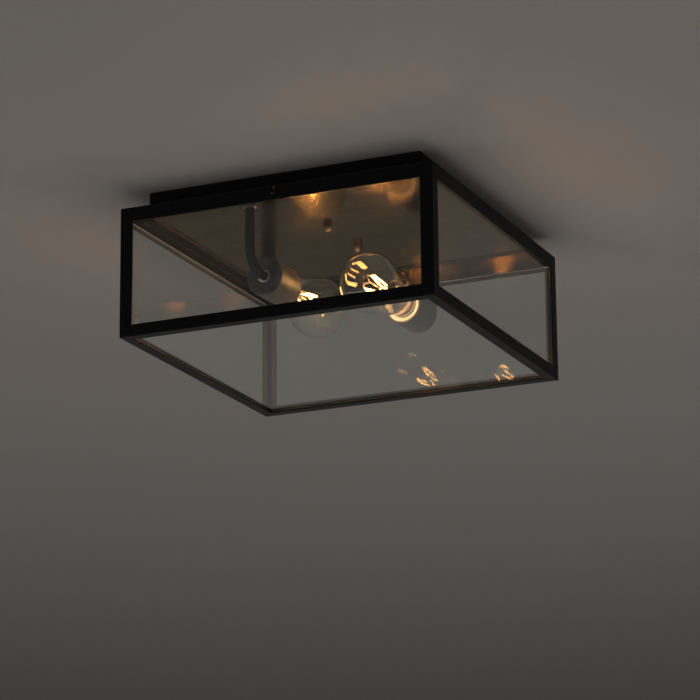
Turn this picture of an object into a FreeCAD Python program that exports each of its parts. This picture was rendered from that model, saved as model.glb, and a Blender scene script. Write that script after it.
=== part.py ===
import FreeCAD, Part
import math
import os
import re
import Sketcher
from FreeCAD import Placement, Rotation, Vector

# Porch ceiling lantern: a square black box of glass panes that hangs from a reflector tray
# under a shallow ceiling pan, with two lamps on bent arms inside it.
# Millimetres. The origin is the middle of the ceiling face, +Z is up, -Y is the front.

doc = FreeCAD.newDocument("porch_ceiling_lantern")

# ---- Driving sizes -------------------------------------------------------------------------------

SIZES = {
    # box of the lantern
    "frame_w": (350, "side of the square frame"),
    "frame_h": (139.5, "height of the frame"),
    "frame_metal": (2, "thickness of the frame's metal"),
    "post_w": (13.8, "flange of a corner post"),
    "top_rail_h": (15.5, "height of a top rail"),
    "base_rail_h": (12.8, "height of a base rail's upright flange"),
    "base_ledge_w": (12, "width of a base rail's level flange"),
    "edge_round": (0.6, "rounding of the frame's outer edges"),
    # glazing
    "glass": (3, "thickness of a pane"),
    "pane_lap": (4.3, "how far a pane reaches behind a post or a top rail"),
    "pane_edge": (0.4, "chamfer of a pane's ground edge"),
    "tape": (0.5, "thickness of the glazing tape"),
    "tape_w": (3.6, "width of the glazing tape"),
    "base_pane_gap": (1, "gap round the base pane"),
    # ceiling pan and its fixing
    "canopy_w": (307, "side of the ceiling pan"),
    "canopy_h": (20.5, "depth of the ceiling pan"),
    "canopy_sheet": (1.2, "sheet of the ceiling pan"),
    "canopy_round": (3, "rounding of the pan's upright corners"),
    "canopy_bend": (1, "rounding of the pan's lower edges"),
    "seal_w": (6, "width of the foam seal"),
    "seal_h": (9, "height of the foam seal"),
    "bar_l": (150, "length of the crossbar"),
    "bar_w": (20, "width of the crossbar"),
    "bar_metal": (2, "thickness of the crossbar"),
    "box_slots": (51, "spacing of the slots for a ceiling box"),
    "box_slot_l": (12, "length of a ceiling box slot"),
    "box_slot_w": (4.5, "width of a ceiling box slot"),
    "joist_slots": (116, "spacing of the slots for wood screws"),
    "joist_slot_l": (20, "length of a wood screw slot"),
    "joist_slot_w": (5, "width of a wood screw slot"),
    "stud_spacing": (78.8, "distance between the two canopy studs"),
    "stud_d": (5, "diameter of a canopy stud"),
    "stud_nut_af": (8, "across flats of the nuts on the studs"),
    "stud_nut_h": (4, "height of a stud's lock nut"),
    "cap_nut_h": (8.8, "height of a domed cap nut"),
    "cap_nut_collar_h": (4.8, "height of its hexagon"),
    "cap_nut_end": (1.5, "metal over the end of its bore"),
    "thread_gap": (0.05, "radial gap between a thread and its nut"),
    "plate_gap": (0.3, "radial gap round what passes through a plate"),
    "cut_past": (1, "how far a cutting shape passes a face"),
    "earth_y": (10, "place of the earth screw on the crossbar"),
    "earth_pan_x": (-30, "earth screw on the pan's sheet, across"),
    "earth_pan_y": (22, "earth screw on the pan's sheet, front to back"),
    "earth_screw_d": (3.2, "diameter of an earth screw"),
    "earth_head_d": (7, "head of an earth screw"),
    "earth_head_h": (2.4, "height of an earth screw's head"),
    "earth_out": (7.5, "straight run at each end of the earth lead"),
    "earth_bend": (6, "bends of the earth lead"),
    "block_l": (40, "length of the terminal block"),
    "block_w": (17, "width of the terminal block"),
    "block_h": (13, "height of the terminal block"),
    "block_x": (40, "terminal block from the middle, across"),
    "block_y": (-60, "terminal block from the middle, front to back"),
    "pole_pitch": (12, "spacing of the block's poles"),
    "pole_rise": (5.8, "height of a pole's wire bore in the block"),
    "pole_bore": (3, "wire bore of a pole"),
    "pole_screw_d": (3, "diameter of a pole's screw"),
    "pole_screw_sunk": (0.5, "pole's screw below the block's top"),
    "wire_d": (2.2, "diameter of a wire over its insulation"),
    "wire_pitch": (3, "spacing of the two wires in an arm"),
    "wire_grip": (6, "how far a wire goes into the block"),
    "wire_out": (9, "straight run of a wire from the block"),
    "wire_step": (4, "more of that run for an arm's second wire"),
    "wire_over": (5.5, "height of a wire over its tube"),
    "wire_level": (22, "level run of a wire before its tube"),
    "wire_turn": (3.5, "bend of a wire at the block and at the tube"),
    "wire_sweep": (15, "wide bend of a wire where it starts to run level"),
    # reflector tray
    "tray_sheet": (1, "sheet of the reflector tray"),
    "tray_gap": (0.25, "gap between the tray's lip and the frame"),
    "tray_lip_h": (10.7, "depth of the tray with its lip"),
    "tray_bend": (0.8, "inner rounding where the lip is folded"),
    # side screws
    "screw_drop": (6.9, "side screw below the frame's top"),
    "screw_d": (4, "diameter of a side screw"),
    "screw_head_d": (7, "head of a side screw"),
    "screw_head_h": (2.2, "height of a side screw's head"),
    "screw_crown_d": (3.8, "flat on top of that head"),
    "screw_dome_r": (4.2, "rounding of that head"),
    "screw_rim_h": (0.4, "upright rim of that head"),
    "screw_l": (9.5, "length of a side screw under its head"),
    "screw_point": (0.5, "chamfer of a side screw's end"),
    "socket_af": (2.5, "hexagon socket of a side screw"),
    "socket_depth": (1.3, "depth of that socket"),
    "slot_gap": (0.2, "gap each side of a screw in the frame's slot"),
    "slide_gap": (0.05, "gap between the frame and a screw's head"),
    "lip_nut_d": (6.4, "diameter of a clinch nut"),
    "lip_nut_h": (3.2, "height of a clinch nut"),
    "lip_nut_shank_d": (5.4, "shank of a clinch nut in the lip"),
    # arms
    "arm_x": (48.5, "arm from the middle, across"),
    "arm_y": (127.5, "arm from the middle, front to back"),
    "arm_turn": (2.2, "degrees an arm is turned off square"),
    "stem_d": (10, "diameter of an arm's tube"),
    "stem_wall": (1, "wall of that tube"),
    "stem_top": (7.5, "how far the tube stands above the pan's sheet"),
    "stem_drop": (67.2, "lamp's axis below the tray"),
    "stem_bend": (24, "bend of the tube"),
    "stem_reach": (32, "from the tube's upright leg to the lampholder"),
    "stem_thread": (7.5, "how far the tube goes into the lampholder"),
    "stem_nut_af": (14, "across flats of the nut above the pan"),
    "stem_nut_h": (4, "height of that nut"),
    "stem_washer_d": (18, "diameter of the washer above the pan"),
    "stem_washer_h": (1, "thickness of that washer"),
    "collar_af": (12.4, "across flats of the lock nut under the tray"),
    "collar_h": (2.5, "thickness of that lock nut"),
    "lock_ring_d": (13.4, "diameter of the lock ring at the lampholder"),
    "lock_ring_h": (1.6, "thickness of that ring"),
    # lampholders
    "holder_d": (41.2, "diameter of a lampholder"),
    "holder_l": (43.5, "length of a lampholder"),
    "holder_round": (1, "rounding of the holder's end"),
    "holder_cap_l": (14, "length of the holder's cap"),
    "holder_wall": (1.15, "wall of the holder's sleeve"),
    "holder_joint": (3, "how far the sleeve reaches into the cap"),
    "insert_seat": (1, "how far the insert reaches past the sleeve's end"),
    "holder_end": (2, "thickness of the cap's end"),
    "holder_boss_d": (15, "boss round the tube in the cap"),
    "holder_boss_l": (6, "length of that boss"),
    "holder_ledge": (2.6, "width of the ledge that the insert sits on"),
    "holder_gap": (0.1, "radial gap of the sleeve in the cap and round the insert"),
    "grip_hole_d": (5, "grip screw hole in the cap's end"),
    "grip_hole_x": (7, "grip hole beside the tube"),
    "grip_hole_drop": (12.2, "grip hole below the lamp's axis"),
    "mouth_lip": (0.75, "lip at the sleeve's mouth"),
    "insert_wall": (2.8, "porcelain rim at the mouth"),
    "insert_proud": (0.7, "how far the porcelain stands out of the mouth"),
    "insert_recess": (2.5, "step inside the porcelain rim"),
    "insert_back": (7, "porcelain behind the screw shell"),
    "shell_d": (27.9, "outside of the brass screw shell"),
    "shell_wall": (0.4, "sheet of the screw shell"),
    "shell_back": (2.5, "screw shell short of the recess"),
    "contact_d": (10, "middle contact"),
    "contact_pin_d": (4.8, "rivet of the middle contact"),
    "contact_h": (1, "thickness of the middle contact"),
    "contact_gap": (0.1, "gap in front of the middle contact"),
    "contact_clear": (1.5, "gap between the middle contact and the screw shell"),
    # bulbs
    "globe_d": (63.6, "diameter of a bulb's globe"),
    "bulb_l": (139, "length of a bulb"),
    "bulb_wall": (0.8, "glass of a bulb"),
    "bulb_cone": (14.5, "degrees of the bulb's tapered side"),
    "neck_d": (30, "bulb where the taper meets the neck"),
    "throat_d": (24, "bulb inside its cap"),
    "throat_l": (5, "how far the glass reaches into its cap"),
    "throat_over": (1, "straight throat past the cap's rim"),
    "neck_flare": (60, "hollow of the neck"),
    "base_l": (27, "length of a bulb's cap"),
    "base_d": (26.4, "diameter of a bulb's cap"),
    "base_wall": (0.35, "sheet of a bulb's cap"),
    "base_pitch": (3.63, "pitch of the cap's thread"),
    "base_groove": (0.5, "depth of the cap's thread"),
    "base_skirt": (1.6, "plain cap between its rim and its thread"),
    "tail_in": (2.2, "cap's end inside its radius"),
    "tail_w": (1.4, "turned-in edge at the cap's end"),
    "tip_d": (9, "contact at a bulb's end"),
    "tip_h": (1.2, "thickness of that contact"),
    "tip_slope": (1, "taper round that contact"),
    "tip_margin": (0.5, "insulator round that contact"),
    "collar_glass_h": (3.3, "insulator behind that contact"),
    "flare_l": (28, "length of the glass flare in the neck"),
    "flare_gap": (0.2, "gap between the flare and the neck"),
    "flare_foot": (0.5, "flare short of the glass's end"),
    "rod_end": (35, "glass rod from the cap's rim"),
    "rod_d": (3.2, "diameter of the glass rod"),
    "stick_l": (30, "length of a filament stick along the bulb"),
    "stick_d": (1.8, "diameter of a filament stick"),
    "stick_start": (43, "filament sticks from the cap's rim"),
    "stick_root": (6.5, "sticks from the bulb's axis at the cap's side"),
    "stick_spread": (10, "sticks from the bulb's axis at the globe's side"),
    "stick_twist": (22, "degrees each stick leans round the axis"),
    "lead_d": (0.7, "diameter of a support wire"),
    "lead_gap": (0.05, "gap between a support wire and a stick"),
    "hub_past": (4, "hub of the support wires past the sticks"),
}
STICKS = 6  # filament sticks in a bulb
THREADS = 5  # ridges of a bulb's cap
HALF_ROUND = 1.00001  # radius of a half-round end over half its chord, a hair more so that it is an arc
TOLERANCE = 0.01  # for telling edges by their place
# The glass flare: distance from its foot over its length, radius over the foot's radius
FLARE = ((0, 1), (0.06, 0.82), (0.27, 0.47), (0.55, 0.32), (0.9, 0.29))

# Sizes that follow from others. A name here stands for its formula in every expression below.
WORKED_OUT = {
    "frame_half": "(frame_w / 2)",
    "frame_top": "(-canopy_h)",
    "frame_base": "(-canopy_h - frame_h)",
    "post_gap": "(frame_w - 2 * post_w)",
    "pane_w": "(post_gap + 2 * pane_lap)",
    "pane_top": "(frame_top - top_rail_h + pane_lap)",
    "base_pane_z": "(frame_base + frame_metal + tape)",
    "pane_base": "(base_pane_z + glass)",
    "pane_h": "(pane_top - pane_base)",
    "pane_face": "(frame_half - frame_metal - tape)",
    "base_pane_w": "(frame_w - 2 * frame_metal - 2 * base_pane_gap)",
    "pan_floor": "(-canopy_h + canopy_sheet)",
    "pan_inside": "(canopy_w - 2 * canopy_sheet)",
    "pan_inner_round": "(canopy_round - canopy_sheet)",
    "tray_w": "(frame_w - 2 * frame_metal - 2 * tray_gap)",
    "tray_z": "(-canopy_h - tray_sheet)",
    "screw_z": "(frame_top - screw_drop)",
    "lip_face": "(tray_w / 2)",
    "stud_y": "(stud_spacing / 2)",
    "stud_hole_d": "(stud_d + 2 * plate_gap)",
    "stem_hole_d": "(stem_d + 2 * plate_gap)",
    "screw_slot_w": "(screw_d + 2 * slot_gap)",
    "stem_up": "(tray_sheet + canopy_sheet + stem_top)",
    "pole_z": "(pan_floor + pole_rise)",
    "stem_r": "(stem_d / 2)",
    # along a lamp's axis, from the tube's upright leg
    "cap_edge": "(stem_reach + holder_cap_l)",
    "joint_start": "(cap_edge - holder_joint)",
    "insert_start": "(joint_start - insert_seat)",
    "mouth": "(stem_reach + holder_l)",
    "insert_end": "(mouth + insert_proud)",
    "insert_floor": "(insert_start + insert_back)",
    "recess": "(insert_end - insert_recess)",
    "contact_face": "(insert_floor + contact_h)",
    "bulb_tip": "(contact_face + contact_gap)",
    "bulb_rim": "(bulb_tip + base_l)",
    "bulb_end": "(bulb_tip + bulb_l)",
    "globe_r": "(globe_d / 2)",
    "globe_at": "(bulb_end - globe_r)",
    "cone_end": "(globe_at - globe_r * sin(bulb_cone))",
    "cone_end_r": "(globe_r * cos(bulb_cone))",
    "cone_start": "(cone_end - (cone_end_r - neck_d / 2) / tan(bulb_cone))",
    "bore_r": "(globe_r - bulb_wall)",
    "bore_cone_end": "(globe_at - bore_r * sin(bulb_cone))",
    "bore_cone_end_r": "(bore_r * cos(bulb_cone))",
    "bore_neck_r": "(neck_d / 2 - bulb_wall)",
    "bore_cone_start": "(bore_cone_end - (bore_cone_end_r - bore_neck_r) / tan(bulb_cone))",
    # radii of a lampholder
    "holder_r": "(holder_d / 2)",
    "sleeve_bore": "(holder_r - holder_wall)",
    "spigot_r": "(sleeve_bore + holder_wall / 2 - holder_gap / 2)",
    "counterbore_r": "(spigot_r + holder_gap)",
    "insert_r": "(sleeve_bore - holder_gap)",
    "insert_nose_r": "(insert_r - mouth_lip)",
    "shell_r": "(shell_d / 2)",
    "shell_bore": "(shell_r - shell_wall)",
    "insert_bore": "(shell_r + holder_gap / 2)",
    "base_r": "(base_d / 2)",
    "tail_r": "(base_r - tail_in)",
    "bulb_tail": "(bulb_tip + tip_h + collar_glass_h)",
}

sheet = doc.addObject("Spreadsheet::Sheet", "sizes")
for row, (name, (size, meaning)) in enumerate(SIZES.items(), start=1):
    sheet.set(f"A{row}", meaning)
    sheet.set(f"B{row}", str(size))
    sheet.setAlias(f"B{row}", name)
doc.recompute()


def formula(text):
    """An expression for the document: names of sizes become cells, worked-out names their formulas."""
    def cell(match):
        word = match.group()
        if word in SIZES:
            return "sizes." + word
        if word in WORKED_OUT:
            return formula(WORKED_OUT[word])
        return word
    return re.sub(r"[a-z][a-z_]*", cell, str(text))


def value(text):
    """The number that an expression gives now."""
    result = sheet.evalExpression(formula(text))
    return float(getattr(result, "Value", result))


# ---- Helpers for solids --------------------------------------------------------------------------

def bind(obj, **formulas):
    """Bind properties of an object to expressions."""
    for name, text in formulas.items():
        obj.setExpression(name, formula(text))
    return obj


def put(obj, x="0", y="0", z="0", turn=None, axis=(0, 0, 1)):
    """Bind an object's place, and its turn in degrees about an axis."""
    if turn is not None:
        obj.Placement = Placement(Vector(), Rotation(Vector(*axis), value(turn)))
        obj.setExpression("Placement.Rotation.Angle", formula(turn))
    for name, text in zip("xyz", (x, y, z)):
        obj.setExpression("Placement.Base." + name, formula(text))
    return obj


def box(x, y, z, length, width, height):
    """A box from its low corner and its three sides."""
    obj = doc.addObject("Part::Box", "box")
    bind(obj, Length=length, Width=width, Height=height)
    return put(obj, x, y, z)


def block(x, y, z, length, width, height):
    """A box centred on x and y that stands on z."""
    return box(f"({x}) - ({length}) / 2", f"({y}) - ({width}) / 2", z, length, width, height)


def cylinder(x, y, z, diameter, height, turn=None, axis=(1, 0, 0)):
    """An upright cylinder on its lower middle, or one turned about an axis there."""
    obj = doc.addObject("Part::Cylinder", "cylinder")
    bind(obj, Radius=f"({diameter}) / 2", Height=height)
    return put(obj, x, y, z, turn, axis)


def hexagon(x, y, z, across_flats, height):
    """A six-sided prism on its lower middle."""
    obj = doc.addObject("Part::Prism", "hexagon")
    obj.Polygon = 6
    bind(obj, Circumradius=f"({across_flats}) / 2 / cos(30)", Height=height)
    return put(obj, x, y, z)


def cut(base, *tools):
    """A solid with others taken away from it, one after the other."""
    for tool in tools:
        obj = doc.addObject("Part::Cut", "cut")
        obj.Base = base
        obj.Tool = tool
        base = obj
    return base


def fuse(*solids):
    """Solids joined into one."""
    obj = doc.addObject("Part::MultiFuse", "fuse")
    obj.Shapes = list(solids)
    obj.Refine = True
    return obj


def group(*solids):
    """Separate solids kept together as one sub-part."""
    obj = doc.addObject("Part::Compound", "group")
    obj.Links = list(solids)
    return obj


SUB_PARTS = []


def sub_part(obj, name):
    """Name an object as a piece of the lantern."""
    obj.Label = name
    SUB_PARTS.append(obj)
    return obj


# ---- Helpers for sketched bodies -----------------------------------------------------------------

def new_body(name):
    body = doc.addObject("PartDesign::Body", "body_" + name)
    return sub_part(body, name)


def new_sketch(body, plane, offset="0", across="0", up="0"):
    """A sketch on one of the body's origin planes, moved along its normal and in its plane."""
    sketch = body.newObject("Sketcher::SketchObject", "sketch")
    role = plane + "_Plane"
    origin_plane = next(f for f in body.Origin.OriginFeatures if f.Role == role)
    sketch.AttachmentSupport = [(origin_plane, "")]
    sketch.MapMode = "FlatFace"
    for name, text in zip("xyz", (across, up, offset)):
        sketch.setExpression("AttachmentOffset.Base." + name, formula(text))
    return sketch


def arc_middle(start, end, radius):
    """Middle of an arc between two points. A positive radius bulges to the left of the way."""
    chord = end - start
    half = chord.Length / 2
    sagitta = abs(radius) - math.sqrt(radius ** 2 - half ** 2)
    left = Vector(-chord.y, chord.x, 0).normalize()
    return (start + end) * 0.5 + left * math.copysign(sagitta, radius)


def outline(sketch, corners):
    """A closed outline through corners (x, y) or (x, y, radius of the arc that leaves it)."""
    points = [Vector(value(corner[0]), value(corner[1]), 0) for corner in corners]
    count = len(points)
    first = sketch.GeometryCount
    for i, corner in enumerate(corners):
        here, there = points[i], points[(i + 1) % count]
        if len(corner) == 3:
            middle = arc_middle(here, there, value(corner[2]))
            sketch.addGeometry(Part.Arc(here, middle, there), False)
        else:
            sketch.addGeometry(Part.LineSegment(here, there), False)

    def end_at(i, point):
        """Which end of a piece of the outline lies at a point."""
        at_start = (sketch.getPoint(first + i, 1) - point).Length
        at_end = (sketch.getPoint(first + i, 2) - point).Length
        return 1 if at_start < at_end else 2

    for i, point in enumerate(points):
        before = (i - 1) % count
        sketch.addConstraint(Sketcher.Constraint(
            "Coincident", first + before, end_at(before, point), first + i, end_at(i, point)))
    for i, corner in enumerate(corners):
        for kind, text in zip(("DistanceX", "DistanceY"), corner):
            index = sketch.addConstraint(Sketcher.Constraint(
                kind, -1, 1, first + i, end_at(i, points[i]), value(text)))
            sketch.setExpression(f"Constraints[{index}]", formula(text))
        if len(corner) == 3:
            index = sketch.addConstraint(Sketcher.Constraint("Radius", first + i, abs(value(corner[2]))))
            sketch.setExpression(f"Constraints[{index}]", formula(f"abs({corner[2]})"))
    return sketch


def square(sketch, side):
    """A square outline centred on the sketch."""
    half = f"({side}) / 2"
    return outline(sketch, [(f"-{half}", f"-{half}"), (half, f"-{half}"), (half, half), (f"-{half}", half)])


def circles(sketch, *rounds):
    """Circles, each given by x, y and its diameter."""
    for x, y, diameter in rounds:
        middle = Vector(value(x), value(y), 0)
        index = sketch.addGeometry(Part.Circle(middle, Vector(0, 0, 1), value(diameter) / 2), False)
        for kind, text in (("DistanceX", x), ("DistanceY", y)):
            number = sketch.addConstraint(Sketcher.Constraint(kind, -1, 1, index, 3, value(text)))
            sketch.setExpression(f"Constraints[{number}]", formula(text))
        number = sketch.addConstraint(Sketcher.Constraint("Diameter", index, value(diameter)))
        sketch.setExpression(f"Constraints[{number}]", formula(diameter))
    return sketch


def slots(sketch, *rounds):
    """Slots along the sketch's second axis, each given by x, y, length and width."""
    for x, y, length, width in rounds:
        side = f"({width}) / 2"
        low = f"({y}) - ({length}) / 2 + {side}"
        high = f"({y}) + ({length}) / 2 - {side}"
        outline(sketch, [(f"({x}) - {side}", low, f"-({side}) * {HALF_ROUND}"), (f"({x}) + {side}", low),
                         (f"({x}) + {side}", high, f"-({side}) * {HALF_ROUND}"), (f"({x}) - {side}", high)])
    return sketch


def pad(body, sketch, length, against=False):
    """Material added from a sketch along its normal, or against it."""
    step = body.newObject("PartDesign::Pad", "pad")
    step.Profile = sketch
    step.Reversed = against
    bind(step, Length=length)


def pocket(body, sketch, length):
    """Material cut away from a sketch against its normal."""
    step = body.newObject("PartDesign::Pocket", "pocket")
    step.Profile = sketch
    bind(step, Length=length)


def turned(body, sketch):
    """A solid turned about the sketch's first axis."""
    step = body.newObject("PartDesign::Revolution", "turned")
    step.Profile = sketch
    step.ReferenceAxis = (sketch, ["H_Axis"])
    step.Angle = 360


def edges_of(body, wanted):
    """Names of the tip's straight edges that wanted(start, end) picks."""
    doc.recompute()
    names = []
    for number, edge in enumerate(body.Tip.Shape.Edges, start=1):
        if len(edge.Vertexes) == 2 and wanted(*(v.Point for v in edge.Vertexes)):
            names.append(f"Edge{number}")
    return names


def dress(body, kind, size_name, text, wanted):
    """A fillet or chamfer of the tip's edges that wanted picks."""
    names = edges_of(body, wanted)
    tip = body.Tip
    step = body.newObject("PartDesign::" + kind, kind.lower())
    step.Base = (tip, names)
    bind(step, **{size_name: text})


def round_edges(body, radius, wanted):
    dress(body, "Fillet", "Radius", radius, wanted)


def chamfer_edges(body, size, wanted):
    dress(body, "Chamfer", "Size", size, wanted)


def near(a, b):
    return abs(a - b) < TOLERANCE


def upright(start, end):
    """Whether an edge stands along Z."""
    return near(start.x, end.x) and near(start.y, end.y)


# ---- Crossbar, studs and earth -------------------------------------------------------------------

def crossbar():
    """Flat bar on the ceiling, with slots for its screws and threaded holes for the studs."""
    body = new_body("crossbar")
    half_w, half_l = "bar_w / 2", "bar_l / 2"
    plan = outline(new_sketch(body, "XY"), [(f"-{half_w}", f"-{half_l}"), (half_w, f"-{half_l}"),
                                            (half_w, half_l), (f"-{half_w}", half_l)])
    pad(body, plan, "bar_metal", against=True)
    round_edges(body, "bar_metal", upright)
    holes = new_sketch(body, "XY")
    slots(holes, *[("0", f"{sign}{spacing} / 2", length, width) for sign in ("-", "")
                   for spacing, length, width in (("box_slots", "box_slot_l", "box_slot_w"),
                                                  ("joist_slots", "joist_slot_l", "joist_slot_w"))])
    circles(holes, *[("0", y, "stud_d + 2 * thread_gap") for y in ("-stud_y", "stud_y")],
            ("0", "earth_y", "earth_screw_d + 2 * thread_gap"))
    pocket(body, holes, "bar_metal")


def nut(x, y, z, across_flats, height, thread):
    """A plain hexagon nut on its lower face."""
    return cut(hexagon(x, y, z, across_flats, height),
               cylinder(x, y, z, f"({thread}) + 2 * thread_gap", height))


def studs():
    """Two studs down from the crossbar, each with a lock nut under it."""
    length = "-tray_z + cap_nut_h - cap_nut_end"
    pieces = []
    for y in ("-stud_y", "stud_y"):
        pieces.append(cylinder("0", y, f"-({length})", "stud_d", length))
        pieces.append(nut("0", y, "-bar_metal - stud_nut_h", "stud_nut_af", "stud_nut_h", "stud_d"))
    sub_part(group(*pieces), "crossbar_studs")


def cap_nuts():
    """Domed nuts that hold the tray and the pan up on the studs."""
    collar_z = "tray_z - cap_nut_collar_h"
    pieces = []
    for y in ("-stud_y", "stud_y"):
        collar = hexagon("0", y, collar_z, "stud_nut_af", "cap_nut_collar_h")
        dome = doc.addObject("Part::Sphere", "dome")
        bind(dome, Radius="cap_nut_h - cap_nut_collar_h")
        dome.Angle1 = -90
        dome.Angle2 = 0
        put(dome, "0", y, collar_z)
        bore = cylinder("0", y, "tray_z - cap_nut_h + cap_nut_end", "stud_d + 2 * thread_gap",
                        "cap_nut_h - cap_nut_end")
        pieces.append(cut(fuse(collar, dome), bore))
    sub_part(group(*pieces), "cap_nuts")


def earth_screws():
    """Earth screws under the crossbar and on the pan's sheet."""
    bar_screw = fuse(cylinder("0", "earth_y", "-bar_metal - earth_head_h", "earth_head_d", "earth_head_h"),
                     cylinder("0", "earth_y", "-bar_metal", "earth_screw_d", "bar_metal"))
    pan_screw = cylinder("earth_pan_x", "earth_pan_y", "pan_floor", "earth_head_d", "earth_head_h")
    sub_part(group(bar_screw, pan_screw), "earth_screws")


# ---- Ceiling pan, seal, tray ---------------------------------------------------------------------

def lamp_places():
    """Each arm's name, place and turn about its upright leg."""
    return [("left", "-arm_x", "-arm_y", "-arm_turn"), ("right", "arm_x", "arm_y", "180 - arm_turn")]


def hanging_holes(sketch):
    """Holes that the pan and the tray share: two studs and two arms."""
    studs_at = [("0", y, "stud_hole_d") for y in ("-stud_y", "stud_y")]
    stems_at = [(x, y, "stem_hole_d") for _, x, y, _ in lamp_places()]
    return circles(sketch, *studs_at, *stems_at)


def canopy_pan():
    """Square pan folded from sheet, open towards the ceiling."""
    body = new_body("canopy_pan")
    pad(body, square(new_sketch(body, "XY"), "canopy_w"), "canopy_h", against=True)
    round_edges(body, "canopy_round", upright)
    floor_z = value("-canopy_h")
    round_edges(body, "canopy_bend", lambda a, b: near(a.z, floor_z) and near(b.z, floor_z))
    pocket(body, square(new_sketch(body, "XY"), "pan_inside"), "canopy_h - canopy_sheet")
    inside = value("pan_inside / 2")
    round_edges(body, "pan_inner_round",
                lambda a, b: upright(a, b) and near(abs(a.x), inside) and near(abs(a.y), inside))
    pocket(body, hanging_holes(new_sketch(body, "XY", "pan_floor")), "canopy_sheet")


def canopy_seal():
    """Foam strip inside the pan's wall, flush with the ceiling face."""
    body = new_body("canopy_seal")
    pad(body, square(new_sketch(body, "XY"), "pan_inside"), "seal_h", against=True)
    round_edges(body, "pan_inner_round", upright)
    pocket(body, square(new_sketch(body, "XY"), "pan_inside - 2 * seal_w"), "seal_h")


def reflector_tray():
    """Polished sheet under the pan, folded down to a lip that the frame closes round."""
    body = new_body("reflector_tray")
    pad(body, square(new_sketch(body, "XY", "frame_top"), "tray_w"), "tray_lip_h", against=True)
    round_edges(body, "tray_bend + tray_sheet", upright)
    inside = "tray_w - 2 * tray_sheet"
    hollow = square(new_sketch(body, "XY", "tray_z"), inside)
    pocket(body, hollow, "tray_lip_h - tray_sheet")
    inner, sheet_z, lip_z = value(f"({inside}) / 2"), value("tray_z"), value("frame_top - tray_lip_h")
    round_edges(body, "tray_bend", lambda a, b: (
        (upright(a, b) and near(abs(a.x), inner) and near(abs(a.y), inner) and near(min(a.z, b.z), lip_z))
        or (near(a.z, sheet_z) and near(b.z, sheet_z) and (a - b).Length > inner)))
    pocket(body, hanging_holes(new_sketch(body, "XY", "frame_top")), "tray_sheet")
    lip_hole = "lip_nut_shank_d + 2 * thread_gap"
    across = circles(new_sketch(body, "XZ", "tray_w / 2"), ("0", "screw_z", lip_hole))
    pocket(body, across, "tray_w")


def lip_nuts():
    """Clinch nuts inside the lip for the two side screws."""
    pieces = []
    for turn in ("90", "-90"):
        sign = "-" if turn == "90" else ""
        face, inner = f"{sign}lip_face", f"{sign}(lip_face - tray_sheet)"
        shank = cylinder("0", inner, "screw_z", "lip_nut_shank_d", "tray_sheet", turn)
        back = "-90" if turn == "90" else "90"
        ring = cylinder("0", inner, "screw_z", "lip_nut_d", "lip_nut_h", back)
        bore = cylinder("0", face, "screw_z", "screw_d + 2 * thread_gap", "tray_sheet + lip_nut_h", back)
        pieces.append(cut(fuse(shank, ring), bore))
    sub_part(group(*pieces), "lip_nuts")


# ---- Terminal block and wires --------------------------------------------------------------------

def terminal_block():
    """Three-pole block on the pan's sheet, with its clamping screws."""
    case = block("block_x", "block_y", "pan_floor", "block_w", "block_l", "block_h")
    poles = [f"block_y + {number} * pole_pitch" for number in (-1, 0, 1)]
    bores = [cylinder("block_x - block_w / 2", y, "pole_z", "pole_bore", "block_w", "90", (0, 1, 0))
             for y in poles]
    screw_foot = "pole_z + wire_d / 2 + thread_gap"
    well_l = f"pan_floor + block_h - ({screw_foot})"
    wells, screws = [], []
    for y in poles:
        for side in ("-", "+"):
            x = f"block_x {side} block_w / 4"
            wells.append(cylinder(x, y, screw_foot, "pole_screw_d + 2 * thread_gap", well_l))
            screws.append(cylinder(x, y, screw_foot, "pole_screw_d", f"{well_l} - pole_screw_sunk"))
    sub_part(group(cut(case, *bores, *wells), *screws), "terminal_block")


def route(points, radii):
    """A wire of straight runs joined by tangent arcs, one radius for each inner point."""
    edges = []
    here = points[0]
    for corner, after, radius in zip(points[1:-1], points[2:], radii):
        into = (corner - here).normalize()
        out = (after - corner).normalize()
        half = into.getAngle(out) / 2
        reach = radius * math.tan(half)
        start, end = corner - into * reach, corner + out * reach
        inward = (out - into).normalize()
        middle = corner + inward * (radius / math.cos(half) - radius)
        edges += [Part.LineSegment(here, start).toShape(), Part.Arc(start, middle, end).toShape()]
        here = end
    edges.append(Part.LineSegment(here, points[-1]).toShape())
    return Part.Wire(edges)


def tube_along(path, diameter, name):
    """A round solid that follows a path. Its volume is set against section times length."""
    start = path.Edges[0]
    heading = start.tangentAt(start.FirstParameter)
    ring = Part.Wire(Part.makeCircle(diameter / 2, start.valueAt(start.FirstParameter), heading))
    solid = path.makePipeShell([ring], True, False)
    expected = math.pi * diameter ** 2 / 4 * path.Length
    print(f"{name}: length {path.Length:.1f}, volume {solid.Volume / expected:.4f} of section times length")
    return solid


def feature(name, *shapes):
    """A sub-part whose shape is worked out here."""
    obj = doc.addObject("Part::Feature", "made_" + name)
    obj.Shape = shapes[0] if len(shapes) == 1 else Part.makeCompound(list(shapes))
    return sub_part(obj, name)


def lamp_placement(x, y, turn):
    return Placement(Vector(value(x), value(y), value("tray_z")), Rotation(Vector(0, 0, 1), value(turn)))


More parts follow.
